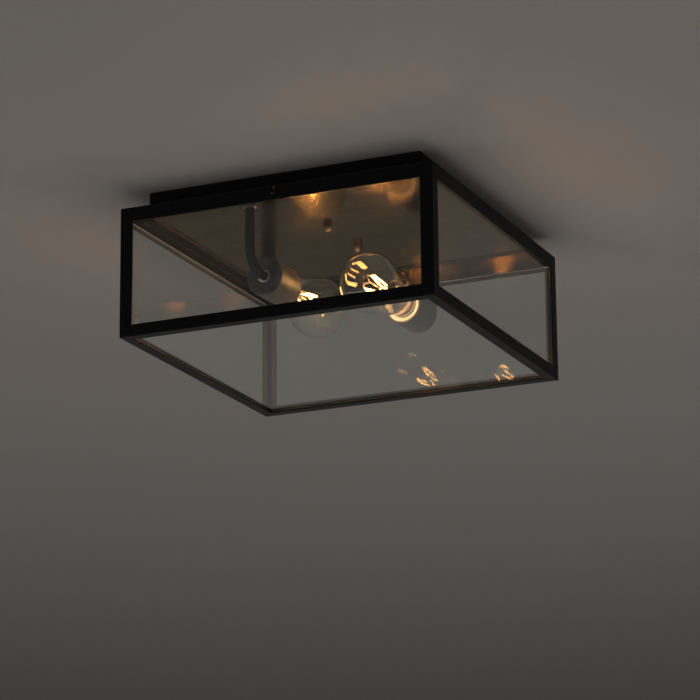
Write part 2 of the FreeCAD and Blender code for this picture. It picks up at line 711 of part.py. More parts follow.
def wires():
    """Two conductors for each lamp, from the block down the arm to the lampholder."""
    grip, straight = value("block_w / 2 - wire_grip"), value("wire_grip + wire_out")
    block_x, pole, wire_z = value("block_x"), value("pole_pitch"), value("pole_z")
    wire_d, spacing, step = value("wire_d"), value("wire_pitch"), value("wire_step")
    tight, sweep = value("wire_turn"), value("wire_sweep")
    above = value("stem_up + wire_over")
    drop, bend, end = value("stem_drop"), value("stem_bend"), value("insert_start")
    for side, x, y, turn in lamp_places():
        place = lamp_placement(x, y, turn)
        outward = -1 if side == "left" else 1
        conductors = []
        for number in (0, 1):
            off = (number - 0.5) * spacing
            pole_y = value("block_y") + outward * pole * number
            start = Vector(block_x + outward * grip, pole_y, wire_z)
            leave = start + Vector(outward * (straight + step * number), 0, 0)
            over = place.multVec(Vector(off, 0, above))
            # the last stretch before the tube comes in level, along the line from the block
            towards = (Vector(leave.x, leave.y, over.z) - over).normalize()
            rise = over + towards * value("wire_level")
            down = place.multVec(Vector(off, 0, -drop))
            seat = place.multVec(Vector(off, end, -drop))
            path = route([start, leave, rise, over, down, seat], [tight, sweep, tight, bend])
            conductors.append(tube_along(path, wire_d, f"wire {side} {number}"))
        feature("wires_" + side, *conductors)


def earth_lead():
    """Earth wire from the crossbar's screw to the pan's screw."""
    head = value("earth_head_d / 2")
    bar_end = Vector(-head, value("earth_y"), value("-bar_metal - earth_head_h / 2"))
    pan_end = Vector(value("earth_pan_x") + head, value("earth_pan_y"), value("pan_floor + earth_head_h / 2"))
    out, bend = Vector(value("earth_out"), 0, 0), value("earth_bend")
    path = route([bar_end, bar_end - out, pan_end + out, pan_end], [bend, bend])
    feature("earth_lead", tube_along(path, value("wire_d"), "earth lead"))


# ---- Arms ----------------------------------------------------------------------------------------

def bent_rod(diameter, past):
    """The arm's centre line as a solid: an upright leg, a quarter bend and a level leg."""
    top, end = f"stem_up + {past}", f"stem_reach + stem_thread + {past}"
    leg = cylinder("0", "0", "-stem_drop + stem_bend", diameter, f"stem_drop - stem_bend + {top}")
    elbow = doc.addObject("Part::Torus", "elbow")
    bind(elbow, Radius1="stem_bend", Radius2=f"({diameter}) / 2")
    elbow.Angle3 = 90
    # the quarter turn lies in the YZ plane, from the foot of the upright leg to the level one
    elbow.Placement.Rotation = Rotation(Vector(0, -1, 0), Vector(0, 0, -1), Vector(1, 0, 0), "ZXY")
    bind(elbow, **{"Placement.Base.y": "stem_bend", "Placement.Base.z": "-stem_drop + stem_bend"})
    reach = cylinder("0", "stem_bend", "-stem_drop", diameter, f"{end} - stem_bend", "-90")
    return fuse(leg, elbow, reach)


def stems():
    """Bent tubes that carry the lampholders and their wires."""
    for side, x, y, turn in lamp_places():
        tube = cut(bent_rod("stem_d", "0"), bent_rod("stem_d - 2 * stem_wall", "cut_past"))
        sub_part(put(tube, x, y, "tray_z", turn), "stem_" + side)


def stem_fixings():
    """Nuts and washers above the pan, and the lock nuts and lock rings that show."""
    hidden, shown = [], []
    sheets, bore = "tray_sheet + canopy_sheet", "stem_d + 2 * thread_gap"
    for _, x, y, turn in lamp_places():
        washer = cut(cylinder("0", "0", sheets, "stem_washer_d", "stem_washer_h"),
                     cylinder("0", "0", sheets, bore, "stem_washer_h"))
        top_nut = nut("0", "0", f"{sheets} + stem_washer_h", "stem_nut_af", "stem_nut_h", "stem_d")
        hidden.append(put(group(washer, top_nut), x, y, "tray_z", turn))
        collar = nut("0", "0", "-collar_h", "collar_af", "collar_h", "stem_d")
        ring_y = "stem_reach - lock_ring_h"
        ring = cut(cylinder("0", ring_y, "-stem_drop", "lock_ring_d", "lock_ring_h", "-90"),
                   cylinder("0", ring_y, "-stem_drop", bore, "lock_ring_h", "-90"))
        shown.append(put(group(collar, ring), x, y, "tray_z", turn))
    sub_part(group(*hidden), "stem_nuts")
    sub_part(group(*shown), "stem_lock_nuts")


# ---- Lampholders ---------------------------------------------------------------------------------

def lamp_turned(name, place, corners):
    """A solid turned about a lamp's axis from its outline (distance along the axis, radius)."""
    body = new_body(name)
    sketch = outline(new_sketch(body, "YZ", up="-stem_drop"), corners)
    turned(body, sketch)
    x, y, turn = place
    return put(body, x, y, "tray_z", turn)


def holder_cap(side, place):
    """Cup that screws onto the tube, with a grip screw hole in its end."""
    thread = "stem_r + thread_gap"
    body = lamp_turned(f"holder_{side}_cap", place, [
        ("stem_reach", thread),
        ("stem_reach", "holder_r - holder_round", "holder_round"),
        ("stem_reach + holder_round", "holder_r"),
        ("cap_edge", "holder_r"),
        ("cap_edge", "counterbore_r"),
        ("insert_start", "counterbore_r"),
        ("insert_start", "counterbore_r - holder_ledge"),
        ("stem_reach + holder_end", "counterbore_r - holder_ledge"),
        ("stem_reach + holder_end", "holder_boss_d / 2"),
        ("stem_reach + holder_boss_l", "holder_boss_d / 2"),
        ("stem_reach + holder_boss_l", thread),
    ])
    hole = circles(new_sketch(body, "XZ", "-stem_reach + cut_past"),
                   ("grip_hole_x", "-stem_drop - grip_hole_drop", "grip_hole_d"))
    pocket(body, hole, "holder_end + 2 * cut_past")


def holder_sleeve(side, place):
    """Thin tube from the cap to the mouth, with a small lip that keeps the insert in."""
    lamp_turned(f"holder_{side}_sleeve", place, [
        ("joint_start", "sleeve_bore"),
        ("joint_start", "spigot_r"),
        ("cap_edge", "spigot_r"),
        ("cap_edge", "holder_r"),
        ("mouth", "holder_r"),
        ("mouth", "insert_nose_r + holder_gap"),
        ("mouth - mouth_lip", "insert_nose_r + holder_gap"),
        ("mouth - mouth_lip", "sleeve_bore"),
    ])


def holder_insert(side, place):
    """Porcelain body with a rim at the mouth and a bore for the screw shell."""
    lamp_turned(f"holder_{side}_insert", place, [
        ("insert_start", "contact_pin_d / 2 + thread_gap"),
        ("insert_start", "insert_r"),
        ("mouth - mouth_lip - holder_gap", "insert_r"),
        ("mouth - mouth_lip - holder_gap", "insert_nose_r"),
        ("insert_end", "insert_nose_r"),
        ("insert_end", "insert_nose_r - insert_wall"),
        ("recess", "insert_nose_r - insert_wall"),
        ("recess", "insert_bore"),
        ("insert_floor", "insert_bore"),
        ("insert_floor", "contact_pin_d / 2 + thread_gap"),
    ])


def holder_contacts(side, place):
    """Brass screw shell, and the middle contact on its rivet."""
    x, y, turn = place
    along = dict(turn="-90")

    def ring(start, outer, inner, length):
        return cut(cylinder("0", start, "-stem_drop", f"2 * ({outer})", length, **along),
                   cylinder("0", start, "-stem_drop", f"2 * ({inner})", length, **along))
    wall = ring("insert_floor", "shell_r", "shell_bore", "recess - shell_back - insert_floor")
    floor = ring("insert_floor", "shell_r", "contact_d / 2 + contact_clear", "shell_wall")
    shell = fuse(wall, floor)
    pin = cylinder("0", "insert_start", "-stem_drop", "contact_pin_d", "insert_back", **along)
    head = cylinder("0", "insert_floor", "-stem_drop", "contact_d", "contact_h", **along)
    contacts = group(shell, fuse(pin, head))
    sub_part(put(contacts, x, y, "tray_z", turn), f"holder_{side}_contacts")


# ---- Bulbs ---------------------------------------------------------------------------------------

def bulb_glass(side, place):
    """Pear-shaped envelope: a globe, a straight taper that touches it, and a hollow neck."""
    lamp_turned(f"bulb_{side}_glass", place, [
        ("bulb_rim - throat_l", "throat_d / 2 - bulb_wall"),
        ("bulb_rim - throat_l", "throat_d / 2"),
        ("bulb_rim + throat_over", "throat_d / 2", "-neck_flare"),
        ("cone_start", "neck_d / 2"),
        ("cone_end", "cone_end_r", "globe_r"),
        ("bulb_end", "0"),
        ("bulb_end - bulb_wall", "0", "-bore_r"),
        ("bore_cone_end", "bore_cone_end_r"),
        ("bore_cone_start", "bore_neck_r", "neck_flare"),
        ("bulb_rim + throat_over", "throat_d / 2 - bulb_wall"),
    ])


def bulb_cap(side, place):
    """Screw cap of thin sheet with a rolled thread."""
    first = "bulb_rim - base_skirt"
    ridge, groove = "base_r", "base_r - base_groove"
    outer = [(f"{first} - base_pitch * {number} / 2", groove if number % 2 else ridge)
             for number in range(2 * THREADS)]
    inner = [(along, f"{radius} - base_wall") for along, radius in reversed(outer)]
    lamp_turned(f"bulb_{side}_cap", place, [
        ("bulb_rim", "base_r - base_wall"), ("bulb_rim", "base_r"), *outer,
        ("bulb_tail", "tail_r"), ("bulb_tail", "tail_r - tail_w"),
        ("bulb_tail + base_wall", "tail_r - tail_w"), ("bulb_tail + base_wall", "tail_r - base_wall"), *inner,
    ])


def bulb_insulator(side, place):
    """Black glass that carries the end contact."""
    start = "bulb_tip + tip_h"
    lamp_turned(f"bulb_{side}_insulator", place, [
        (start, "0"), (start, "tip_d / 2 + tip_margin"), ("bulb_tail", "tail_r"), ("bulb_tail", "0"),
    ])


def bulb_tip(side, place):
    """Round contact at the bulb's end."""
    lamp_turned(f"bulb_{side}_tip", place, [
        ("bulb_tip", "0"), ("bulb_tip", "tip_d / 2 - tip_slope"), ("bulb_tip + tip_h / 2", "tip_d / 2"),
        ("bulb_tip + tip_h", "tip_d / 2"), ("bulb_tip + tip_h", "0"),
    ])


def bulb_mount(side, place):
    """Glass flare inside the neck and the rod that carries the sticks."""
    foot, foot_r = "bulb_rim - throat_l + flare_foot", "(throat_d / 2 - bulb_wall - flare_gap)"
    flare = [(f"{foot} + {along} * flare_l", f"{radius} * {foot_r}") for along, radius in FLARE]
    lamp_turned(f"bulb_{side}_mount", place, [
        (foot, "0"), *flare, (f"{foot} + flare_l", "rod_d / 2"),
        ("bulb_rim + rod_end", "rod_d / 2"), ("bulb_rim + rod_end", "0"),
    ])


def stick_ends():
    """Both ends of each filament stick, in the lamp's own frame."""
    start = value("bulb_rim + stick_start")
    end = start + value("stick_l")
    root, spread, twist = value("stick_root"), value("stick_spread"), math.radians(value("stick_twist"))
    axis_z = value("-stem_drop")
    ends = []
    for number in range(STICKS):
        angle = 2 * math.pi * number / STICKS
        lean = twist if number % 2 else -twist
        ends.append((Vector(root * math.cos(angle), start, axis_z + root * math.sin(angle)),
                     Vector(spread * math.cos(angle + lean), end, axis_z + spread * math.sin(angle + lean))))
    return ends


def rod_between(start, end, diameter):
    along = end - start
    return Part.makeCylinder(diameter / 2, along.Length, start, along)


def bulb_sticks(side, place):
    """Glowing sticks that lean in turn to either side, like a cage."""
    sticks = [rod_between(start, end, value("stick_d")) for start, end in stick_ends()]
    x, y, turn = place
    put(feature(f"bulb_{side}_filaments", *sticks), x, y, "tray_z", turn)


def bulb_leads(side, place):
    """Support wires: spokes from the rod to the sticks, and a hub that ties their far ends."""
    axis_z, lead, gap = value("-stem_drop"), value("lead_d"), value("lead_gap")
    stick_side = value("stick_d / 2") + gap
    rod_tip = Vector(0, value("bulb_rim + rod_end"), axis_z)
    hub = Vector(0, value("bulb_rim + stick_start + stick_l + hub_past"), axis_z)
    wires_here = [rod_between(rod_tip + Vector(0, gap, 0), hub, lead)]
    for start, end in stick_ends():
        for centre, tip in ((rod_tip, start), (hub, end)):
            way = (tip - centre).normalize()
            wires_here.append(rod_between(centre + way * lead, tip - way * stick_side, lead))
    x, y, turn = place
    put(feature(f"bulb_{side}_leads", *wires_here), x, y, "tray_z", turn)


# ---- Frame ---------------------------------------------------------------------------------------

SIDES = (("front", "0"), ("right", "90"), ("back", "180"), ("left", "270"))


def posts():
    """Corner posts: angle section, standing on the base rails' level flanges."""
    names = ("front_right", "back_right", "back_left", "front_left")
    outer, inner, toe = "frame_half", "frame_half - frame_metal", "frame_half - post_w"
    for number, name in enumerate(names):
        body = new_body("post_" + name)
        section = outline(new_sketch(body, "XY", "frame_top"), [
            (outer, f"-({outer})"), (outer, f"-({toe})"), (inner, f"-({toe})"),
            (inner, f"-({inner})"), (toe, f"-({inner})"), (toe, f"-({outer})")])
        pad(body, section, "frame_h - frame_metal", against=True)
        corner = value(outer)
        round_edges(body, "edge_round",
                    lambda a, b: upright(a, b) and near(a.x, corner) and near(a.y, -corner))
        put(body, turn=f"{90 * number}")


def top_rails():
    """Flat rails between the posts. The front and back ones have an open slot for a side screw."""
    end, top, bottom = "post_gap / 2", "frame_top", "frame_top - top_rail_h"
    slot = "screw_slot_w / 2"
    for name, turn in SIDES:
        body = new_body("top_rail_" + name)
        corners = [(f"-({end})", bottom), (end, bottom), (end, top)]
        if name in ("front", "back"):
            corners += [(slot, top), (slot, "screw_z", f"({slot}) * {HALF_ROUND}"),
                        (f"-({slot})", "screw_z"), (f"-({slot})", top)]
        corners.append((f"-({end})", top))
        face = outline(new_sketch(body, "XZ", "frame_half - frame_metal"), corners)
        pad(body, face, "frame_metal")
        outer, top_z = value("-frame_half"), value(top)
        round_edges(body, "edge_round", lambda a, b: near(a.y, outer) and near(b.y, outer)
                    and near(a.z, top_z) and near(b.z, top_z))
        put(body, turn=turn)


def base_rails():
    """Angle rails with mitred level flanges that carry the base pane and the posts."""
    outer, toe = "frame_half", "frame_half - base_ledge_w"
    end = "post_gap / 2"
    for name, turn in SIDES:
        body = new_body("base_rail_" + name)
        ledge = outline(new_sketch(body, "XY", "frame_base"), [
            (f"-({outer})", f"-({outer})"), (outer, f"-({outer})"),
            (toe, f"-({toe})"), (f"-({toe})", f"-({toe})")])
        pad(body, ledge, "frame_metal")
        face = outline(new_sketch(body, "XZ", "frame_half - frame_metal"), [
            (f"-({end})", "frame_base"), (end, "frame_base"), (end, "frame_base + base_rail_h"),
            (f"-({end})", "frame_base + base_rail_h")])
        pad(body, face, "frame_metal")
        face_y, base_z = value("-frame_half"), value("frame_base")
        round_edges(body, "edge_round", lambda a, b: near(a.y, face_y) and near(b.y, face_y)
                    and near(a.z, base_z) and near(b.z, base_z))
        put(body, turn=turn)


# ---- Glazing -------------------------------------------------------------------------------------

def panes():
    """Four side panes that stand on a base pane, all with ground edges."""
    shortest = value("2 * glass")
    for name, turn in SIDES:
        body = new_body("pane_" + name)
        half = "pane_w / 2"
        face = outline(new_sketch(body, "XZ", "pane_face - glass"), [
            (f"-({half})", "pane_base"), (half, "pane_base"), (half, "pane_top"), (f"-({half})", "pane_top")])
        pad(body, face, "glass")
        chamfer_edges(body, "pane_edge", lambda a, b: (a - b).Length > shortest)
        put(body, turn=turn)
    body = new_body("pane_base")
    pad(body, square(new_sketch(body, "XY", "base_pane_z"), "base_pane_w"), "glass")
    chamfer_edges(body, "pane_edge", lambda a, b: (a - b).Length > shortest)


def glazing_tapes():
    """Tape between each pane and the flanges in front of it."""
    rings = []
    for _, turn in SIDES:
        outside = block("0", "-(pane_face + tape / 2)", "pane_base", "pane_w", "tape", "pane_h")
        inside = block("0", "-(pane_face + tape / 2)", "pane_base + tape_w",
                       "pane_w - 2 * tape_w", "tape", "pane_h - 2 * tape_w")
        rings.append(put(cut(outside, inside), turn=turn))
    bed_z = "frame_base + frame_metal"
    rings.append(cut(block("0", "0", bed_z, "base_pane_w", "base_pane_w", "tape"),
                     block("0", "0", bed_z, "base_pane_w - 2 * tape_w", "base_pane_w - 2 * tape_w", "tape")))
    sub_part(group(*rings), "glazing_tapes")


# ---- Side screws ---------------------------------------------------------------------------------

def side_screws():
    """Button-headed screws with a hexagon socket, one at the front and one at the back."""
    seat = "-(frame_half + slide_gap)"
    for name, turn in (("front", "0"), ("back", "180")):
        body = new_body("side_screw_" + name)
        profile = outline(new_sketch(body, "YZ", up="screw_z"), [
            (f"{seat} - screw_head_h", "0"),
            (f"{seat} - screw_head_h", "screw_crown_d / 2", "screw_dome_r"),
            (f"{seat} - screw_rim_h", "screw_head_d / 2"),
            (seat, "screw_head_d / 2"), (seat, "screw_d / 2"),
            (f"{seat} + screw_l - screw_point", "screw_d / 2"),
            (f"{seat} + screw_l", "screw_d / 2 - screw_point"), (f"{seat} + screw_l", "0")])
        turned(body, profile)
        socket = new_sketch(body, "XZ", "frame_half + slide_gap + screw_head_h + cut_past")
        side = "socket_af / sqrt(3)"
        outline(socket, [(f"{side} * {x}", f"screw_z + {side} * {z}") for x, z in (
            (1, 0), (0.5, "sin(60)"), (-0.5, "sin(60)"), (-1, 0), (-0.5, "-sin(60)"), (0.5, "-sin(60)"))])
        pocket(body, socket, "socket_depth + cut_past")
        put(body, turn=turn)


# ---- Build, check and write ----------------------------------------------------------------------

crossbar()
studs()
cap_nuts()
earth_screws()
canopy_pan()
canopy_seal()
reflector_tray()
lip_nuts()
terminal_block()
wires()
earth_lead()
stems()
stem_fixings()
for side, x, y, turn in lamp_places():
    place = (x, y, turn)
    for piece in (holder_cap, holder_sleeve, holder_insert, holder_contacts,
                  bulb_glass, bulb_cap, bulb_insulator, bulb_tip, bulb_mount, bulb_sticks, bulb_leads):
        piece(side, place)
posts()
top_rails()
base_rails()
panes()
glazing_tapes()
side_screws()
doc.recompute()

faults = [f"{obj.Label}: {obj.State}" for obj in doc.Objects if {"Invalid", "Error"} & set(obj.State)]
for obj in SUB_PARTS:
    if obj.Shape.isNull() or not obj.Shape.isValid() or not obj.Shape.Solids:
        faults.append(f"{obj.Label}: no valid solid")
if faults:
    raise RuntimeError("; ".join(faults))

os.makedirs("parts", exist_ok=True)
for obj in SUB_PARTS:
    obj.Shape.exportStep(os.path.join("parts", obj.Label + ".step"))
print(f"{len(SUB_PARTS)} sub-parts written")
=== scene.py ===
import math

import bmesh
import bpy
import numpy as np
from bpy.props import FloatProperty, FloatVectorProperty, PointerProperty
from mathutils import Matrix, Vector


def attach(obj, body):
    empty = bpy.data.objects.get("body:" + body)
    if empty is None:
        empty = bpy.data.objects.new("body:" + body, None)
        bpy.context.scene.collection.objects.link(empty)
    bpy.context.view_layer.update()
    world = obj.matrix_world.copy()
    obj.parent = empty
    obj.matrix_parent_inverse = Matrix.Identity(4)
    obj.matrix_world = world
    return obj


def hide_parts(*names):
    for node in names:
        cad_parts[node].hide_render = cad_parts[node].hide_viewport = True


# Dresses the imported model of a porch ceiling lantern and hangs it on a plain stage. Metres, Z up, -Y the front,
# with the origin in the middle of the ceiling face.

bl_info = {
    "name": "Porch Ceiling Lantern",
    "version": (1, 0, 0),
    "blender": (4, 5, 0),
    "location": "View3D > Sidebar > Lantern",
    "description": "Finishes a square glass ceiling lantern with two lamps, and its plain stage",
    "category": "Object",
}

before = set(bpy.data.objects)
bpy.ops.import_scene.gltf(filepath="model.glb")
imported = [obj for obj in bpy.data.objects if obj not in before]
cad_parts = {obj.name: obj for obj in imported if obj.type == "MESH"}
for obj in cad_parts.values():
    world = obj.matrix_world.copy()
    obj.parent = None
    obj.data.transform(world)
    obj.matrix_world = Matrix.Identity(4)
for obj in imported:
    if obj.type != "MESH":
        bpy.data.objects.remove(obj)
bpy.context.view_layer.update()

MM = 0.001
SIDES = {"left": 1, "right": -1}  # a lamp's side, and the sign of its lean off square

# Places that the lamps share, in metres. A lamp's own axis runs along Y from its arm's upright leg.
TRAY_Z = -21.5 * MM
ARM_X, ARM_Y, ARM_TURN = 48.5 * MM, 127.5 * MM, math.radians(2.2)
LAMP_DROP = 67.2 * MM
STEM_BEND, STEM_THREAD = 24 * MM, 7.5 * MM
HOLDER_START = 32 * MM
INSERT_START, JOINT_START, CAP_EDGE = HOLDER_START + 10 * MM, HOLDER_START + 11 * MM, HOLDER_START + 14 * MM
INSERT_FLOOR, SHELL_END, RECESS = HOLDER_START + 17 * MM, HOLDER_START + 39.2 * MM, HOLDER_START + 41.7 * MM
MOUTH, INSERT_END = HOLDER_START + 43.5 * MM, HOLDER_START + 44.2 * MM
BULB_TIP = HOLDER_START + 18.1 * MM
BULB_RIM, GLOBE_AT = BULB_TIP + 27 * MM, BULB_TIP + 107.2 * MM
SCREW_Z, SCREW_SEAT, STUD_Y = -27.4 * MM, 175.05 * MM, 39.4 * MM
STEM_R, STEM_WALL, STEM_TOP = 5 * MM, 1 * MM, 9.7 * MM
RING_H = 1.6 * MM

# Radii about a lamp's axis, in metres
BORE_R = 5.05 * MM  # what is threaded onto an arm
HOLDER_R, JOINT_R, COUNTERBORE_R, LEDGE_R, BOSS_R = 20.6 * MM, 20.0 * MM, 20.1 * MM, 17.5 * MM, 7.5 * MM
SLEEVE_BORE, MOUTH_R, NOSE_R, INSERT_R, RIM_BORE = 19.45 * MM, 18.7 * MM, 18.6 * MM, 19.35 * MM, 15.8 * MM
INSERT_BORE, SHELL_R, SHELL_BORE, PIN_R, CONTACT_R = 14.0 * MM, 13.95 * MM, 13.6 * MM, 2.4 * MM, 5 * MM
CAP_R, CAP_SHEET, TAIL_R, TAIL_BORE, TIP_R = 13.2 * MM, 0.35 * MM, 11.0 * MM, 9.6 * MM, 4.5 * MM
NECK_R, THROAT_R, ROD_R, STICK_R, WIRE_R = 15 * MM, 12 * MM, 1.6 * MM, 0.9 * MM, 0.3 * MM
CONE = 14.5  # degrees of a bulb's tapered side
STICKS, STICK_LEAN = 6, 22  # light sticks in a bulb, and degrees that each leans round the axis

WELD = 1e-6  # points closer than this are one
CREASE = 35  # degrees past which an edge stays sharp


# ---- Sizes and colours that a user may change --------------------------------------------------------

class LanternSizes(bpy.types.PropertyGroup):
    """Sizes of the finishing details."""
    sheet_ease: FloatProperty(
        name="Sheet easing", description="Rounding of cut sheet edges", default=0.3 * MM, subtype="DISTANCE")
    frame_ease: FloatProperty(
        name="Frame easing", description="Rounding of the painted frame's edges", default=0.45 * MM,
        subtype="DISTANCE")
    cap_thread: FloatProperty(
        name="Bulb thread", description="Pitch of a bulb's screw cap", default=3.63 * MM, subtype="DISTANCE")
    globe_width: FloatProperty(
        name="Globe", description="Diameter of a bulb's globe", default=63.6 * MM, subtype="DISTANCE")
    bulb_wall: FloatProperty(
        name="Bulb glass", description="Thickness of a bulb's glass", default=0.8 * MM, subtype="DISTANCE")


class LanternColours(bpy.types.PropertyGroup):
    """Colours and strengths of the finishes and of the stage."""
    paint: FloatVectorProperty(
        name="Frame paint", description="Satin black of the frame", default=(0.0026, 0.0026, 0.0028),
        subtype="COLOR", min=0, max=1)
    # The tray's dark colour is partly the sheet's own tone and partly painted dark reflection of a dim room around
    # it.
    tray: FloatVectorProperty(
        name="Tray", description="Dark polished sheet of the reflector tray", default=(0.15, 0.115, 0.085),
        subtype="COLOR", min=0, max=1)
    holder: FloatVectorProperty(
        name="Lampholder", description="Very dark bronze of the lampholders' sleeves", default=(0.020, 0.0155, 0.012),
        subtype="COLOR", min=0, max=1)
    glow: FloatVectorProperty(
        name="Glow", description="Colour of the lit filament sticks", default=(1.0, 0.50, 0.16),
        subtype="COLOR", min=0, max=1)
    glow_strength: FloatProperty(name="Glow strength", description="How brightly the sticks shine", default=420.0)
    ceiling: FloatVectorProperty(
        name="Ceiling", description="Plain ceiling behind the lantern", default=(0.094, 0.085, 0.079),
        subtype="COLOR", min=0, max=1)
    floor: FloatVectorProperty(
        name="Floor", description="Plain pale floor far below", default=(0.74, 0.72, 0.69),
        subtype="COLOR", min=0, max=1)


# ---- Shapes worked out with numpy --------------------------------------------------------------------

def grid_faces(rows, columns, closed_rows=False):
    """Four-sided faces between neighbouring points of a grid whose columns close on themselves."""
    last = rows if closed_rows else rows - 1
    row, column = np.meshgrid(np.arange(last), np.arange(columns), indexing="ij")
    below, beside = (row + 1) % rows, (column + 1) % columns
    corners = (row * columns + column, below * columns + column, below * columns + beside, row * columns + beside)
    return np.stack(corners, axis=-1).reshape(-1, 4)


def turned(profile, sides=96, hexed=None, thread=None):
    """A shape turned about Z: at angle t each profile point (height h, radius r) stands at (r cos t, r sin t, h).
    hexed holds a share per point, by which r grows to a hexagon's side: r / cos(distance of t from the flat).
    thread (pitch, depth, start, end) adds depth times a rounded wave of h / pitch - t / full turn to r."""
    profile = np.asarray(profile, float)
    angle = np.arange(sides) * (2 * math.pi / sides)
    height = np.repeat(profile[:, :1], sides, axis=1)
    radius = np.repeat(profile[:, 1:], sides, axis=1)
    if hexed is not None:
        from_flat = (angle + math.pi / 6) % (math.pi / 3) - math.pi / 6
        radius = radius * (1 + np.asarray(hexed)[:, None] * (1 / np.cos(from_flat) - 1))
    if thread is not None:
        pitch, depth, start, end = thread
        wave = 0.5 + 0.5 * np.sin(2 * math.pi * (height / pitch) - angle)
        fade = np.clip(np.minimum(height - start, end - height) / (pitch * 0.7), 0, 1)
        radius = radius - depth * (1 - wave) * fade
    points = np.stack([radius * np.cos(angle), radius * np.sin(angle), height], axis=-1)
    return points.reshape(-1, 3), grid_faces(len(profile), sides)


def ring(profile, **how):
    """A turned wall whose profile closes on itself, as a ring's or a tube's does."""
    points, _ = turned(profile, **how)
    sides = len(points) // len(profile)
    return points, grid_faces(len(profile), sides, closed_rows=True)


def eased(corners, ease, steps=3):
    """A closed outline whose corners are cut by curves: from ease before a corner to ease after it, along
    (1 - s)^2 before + 2 s (1 - s) corner + s^2 after. ease is one length or one for each corner."""
    corner = np.asarray(corners, float)
    before, after = np.roll(corner, 1, axis=0) - corner, np.roll(corner, -1, axis=0) - corner
    reach = np.broadcast_to(np.asarray(ease, float), (len(corner),)).copy()
    span_in, span_out = np.linalg.norm(before, axis=1), np.linalg.norm(after, axis=1)
    reach = np.minimum(reach, 0.45 * np.minimum(span_in, span_out))
    start = corner + before / np.maximum(span_in, 1e-12)[:, None] * reach[:, None]
    end = corner + after / np.maximum(span_out, 1e-12)[:, None] * reach[:, None]
    s = np.linspace(0, 1, steps + 1)[None, :, None]
    curve = (1 - s) ** 2 * start[:, None] + 2 * s * (1 - s) * corner[:, None] + s ** 2 * end[:, None]
    keep = np.ones(curve.shape[:2], bool)
    keep[reach == 0, 1:] = False
    return curve[keep]


def arc(centre, radius, start, end, steps):
    """Points on a circle in a profile: centre (height, radius) plus radius at angles from start to end."""
    angle = np.radians(np.linspace(start, end, steps + 1))
    return np.stack([centre[0] + radius * np.sin(angle), centre[1] + radius * np.cos(angle)], axis=-1)


def tube(path, across, radius, sides=12):
    """A round rod along a flat path: each point plus radius (cos t across + sin t up), with up square to both
    the path and across. A radius per point tapers it, and a zero radius closes an end."""
    path, across = np.asarray(path, float), np.asarray(across, float)
    along = np.gradient(path, axis=0)
    along /= np.linalg.norm(along, axis=1)[:, None]
    up = np.cross(along, across)
    angle = np.arange(sides) * (2 * math.pi / sides)
    radius = np.broadcast_to(np.asarray(radius, float), (len(path),))
    spokes = (np.cos(angle)[None, :, None] * across + np.sin(angle)[None, :, None] * up[:, None])
    points = path[:, None] + radius[:, None, None] * spokes
    return points.reshape(-1, 3), grid_faces(len(path), sides)


def capped(path, radius, dome):
    """A path and radii for tube() whose ends close in quarter domes of the given length."""
    turn = np.linspace(0, math.pi / 2, 5)
    head, tail = path[1] - path[0], path[-1] - path[-2]
    head, tail = head / np.linalg.norm(head), tail / np.linalg.norm(tail)
    start = path[0] + head[None] * (dome * (1 - np.cos(turn)))[:, None]
    end = path[-1] - tail[None] * (dome * (1 - np.cos(turn[::-1])))[:, None]
    reach = np.concatenate([np.sin(turn), np.ones(max(len(path) - 2, 0)), np.sin(turn[::-1])])
    return np.concatenate([start, path[1:-1], end]), radius * reach


def moved(shape, matrix):
    """A shape under a 4 x 4 matrix."""
    points, faces = shape
    matrix = np.array(matrix)
    return points @ matrix[:3, :3].T + matrix[:3, 3], faces


def at_arm(side):
    """Matrix from an arm's own frame (upright leg on Z, lamp along Y, tray's underside at 0) to the lantern's."""
    sign = SIDES[side]
    turn = Matrix.Rotation(-ARM_TURN if sign > 0 else math.pi - ARM_TURN, 4, "Z")
    return Matrix.Translation((-sign * ARM_X, -sign * ARM_Y, TRAY_Z)) @ turn


def along_lamp(side):
    """Matrix from a turned shape's Z axis to a lamp's axis: Z becomes the way from the arm into the globe."""
    return at_arm(side) @ Matrix.Translation((0, 0, -LAMP_DROP)) @ Matrix.Rotation(-math.pi / 2, 4, "X")


def clean_mesh(name, points, faces, weld):
    """A mesh whose points closer than weld are merged and whose faces look outwards."""
    mesh = bpy.data.meshes.new(name)
    mesh.from_pydata(points, [], faces)
    build = bmesh.new()
    build.from_mesh(mesh)
    bmesh.ops.remove_doubles(build, verts=build.verts, dist=weld)
    bmesh.ops.recalc_face_normals(build, faces=build.faces)
    build.to_mesh(mesh)
    build.free()
    return mesh


def piece(name, shapes, finish, body, nodes, crease=CREASE):
    """One mesh object from whole shapes. Doubles at seams and poles are merged and faces turned outwards."""
    points, faces, base = [], [], 0
    for shape_points, shape_faces in shapes:
        points.append(shape_points)
        faces += [[corner + base for corner in face] for face in np.asarray(shape_faces, object).tolist()]
        base += len(shape_points)
    mesh = clean_mesh(name, np.concatenate(points).tolist(), faces, WELD)
    mesh.shade_smooth()
    mesh.set_sharp_from_angle(angle=math.radians(crease))
    mesh.materials.append(finish)
    obj = bpy.data.objects.new(name, mesh)
    bpy.context.scene.collection.objects.link(obj)
    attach(obj, body)
    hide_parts(*nodes)
    return obj


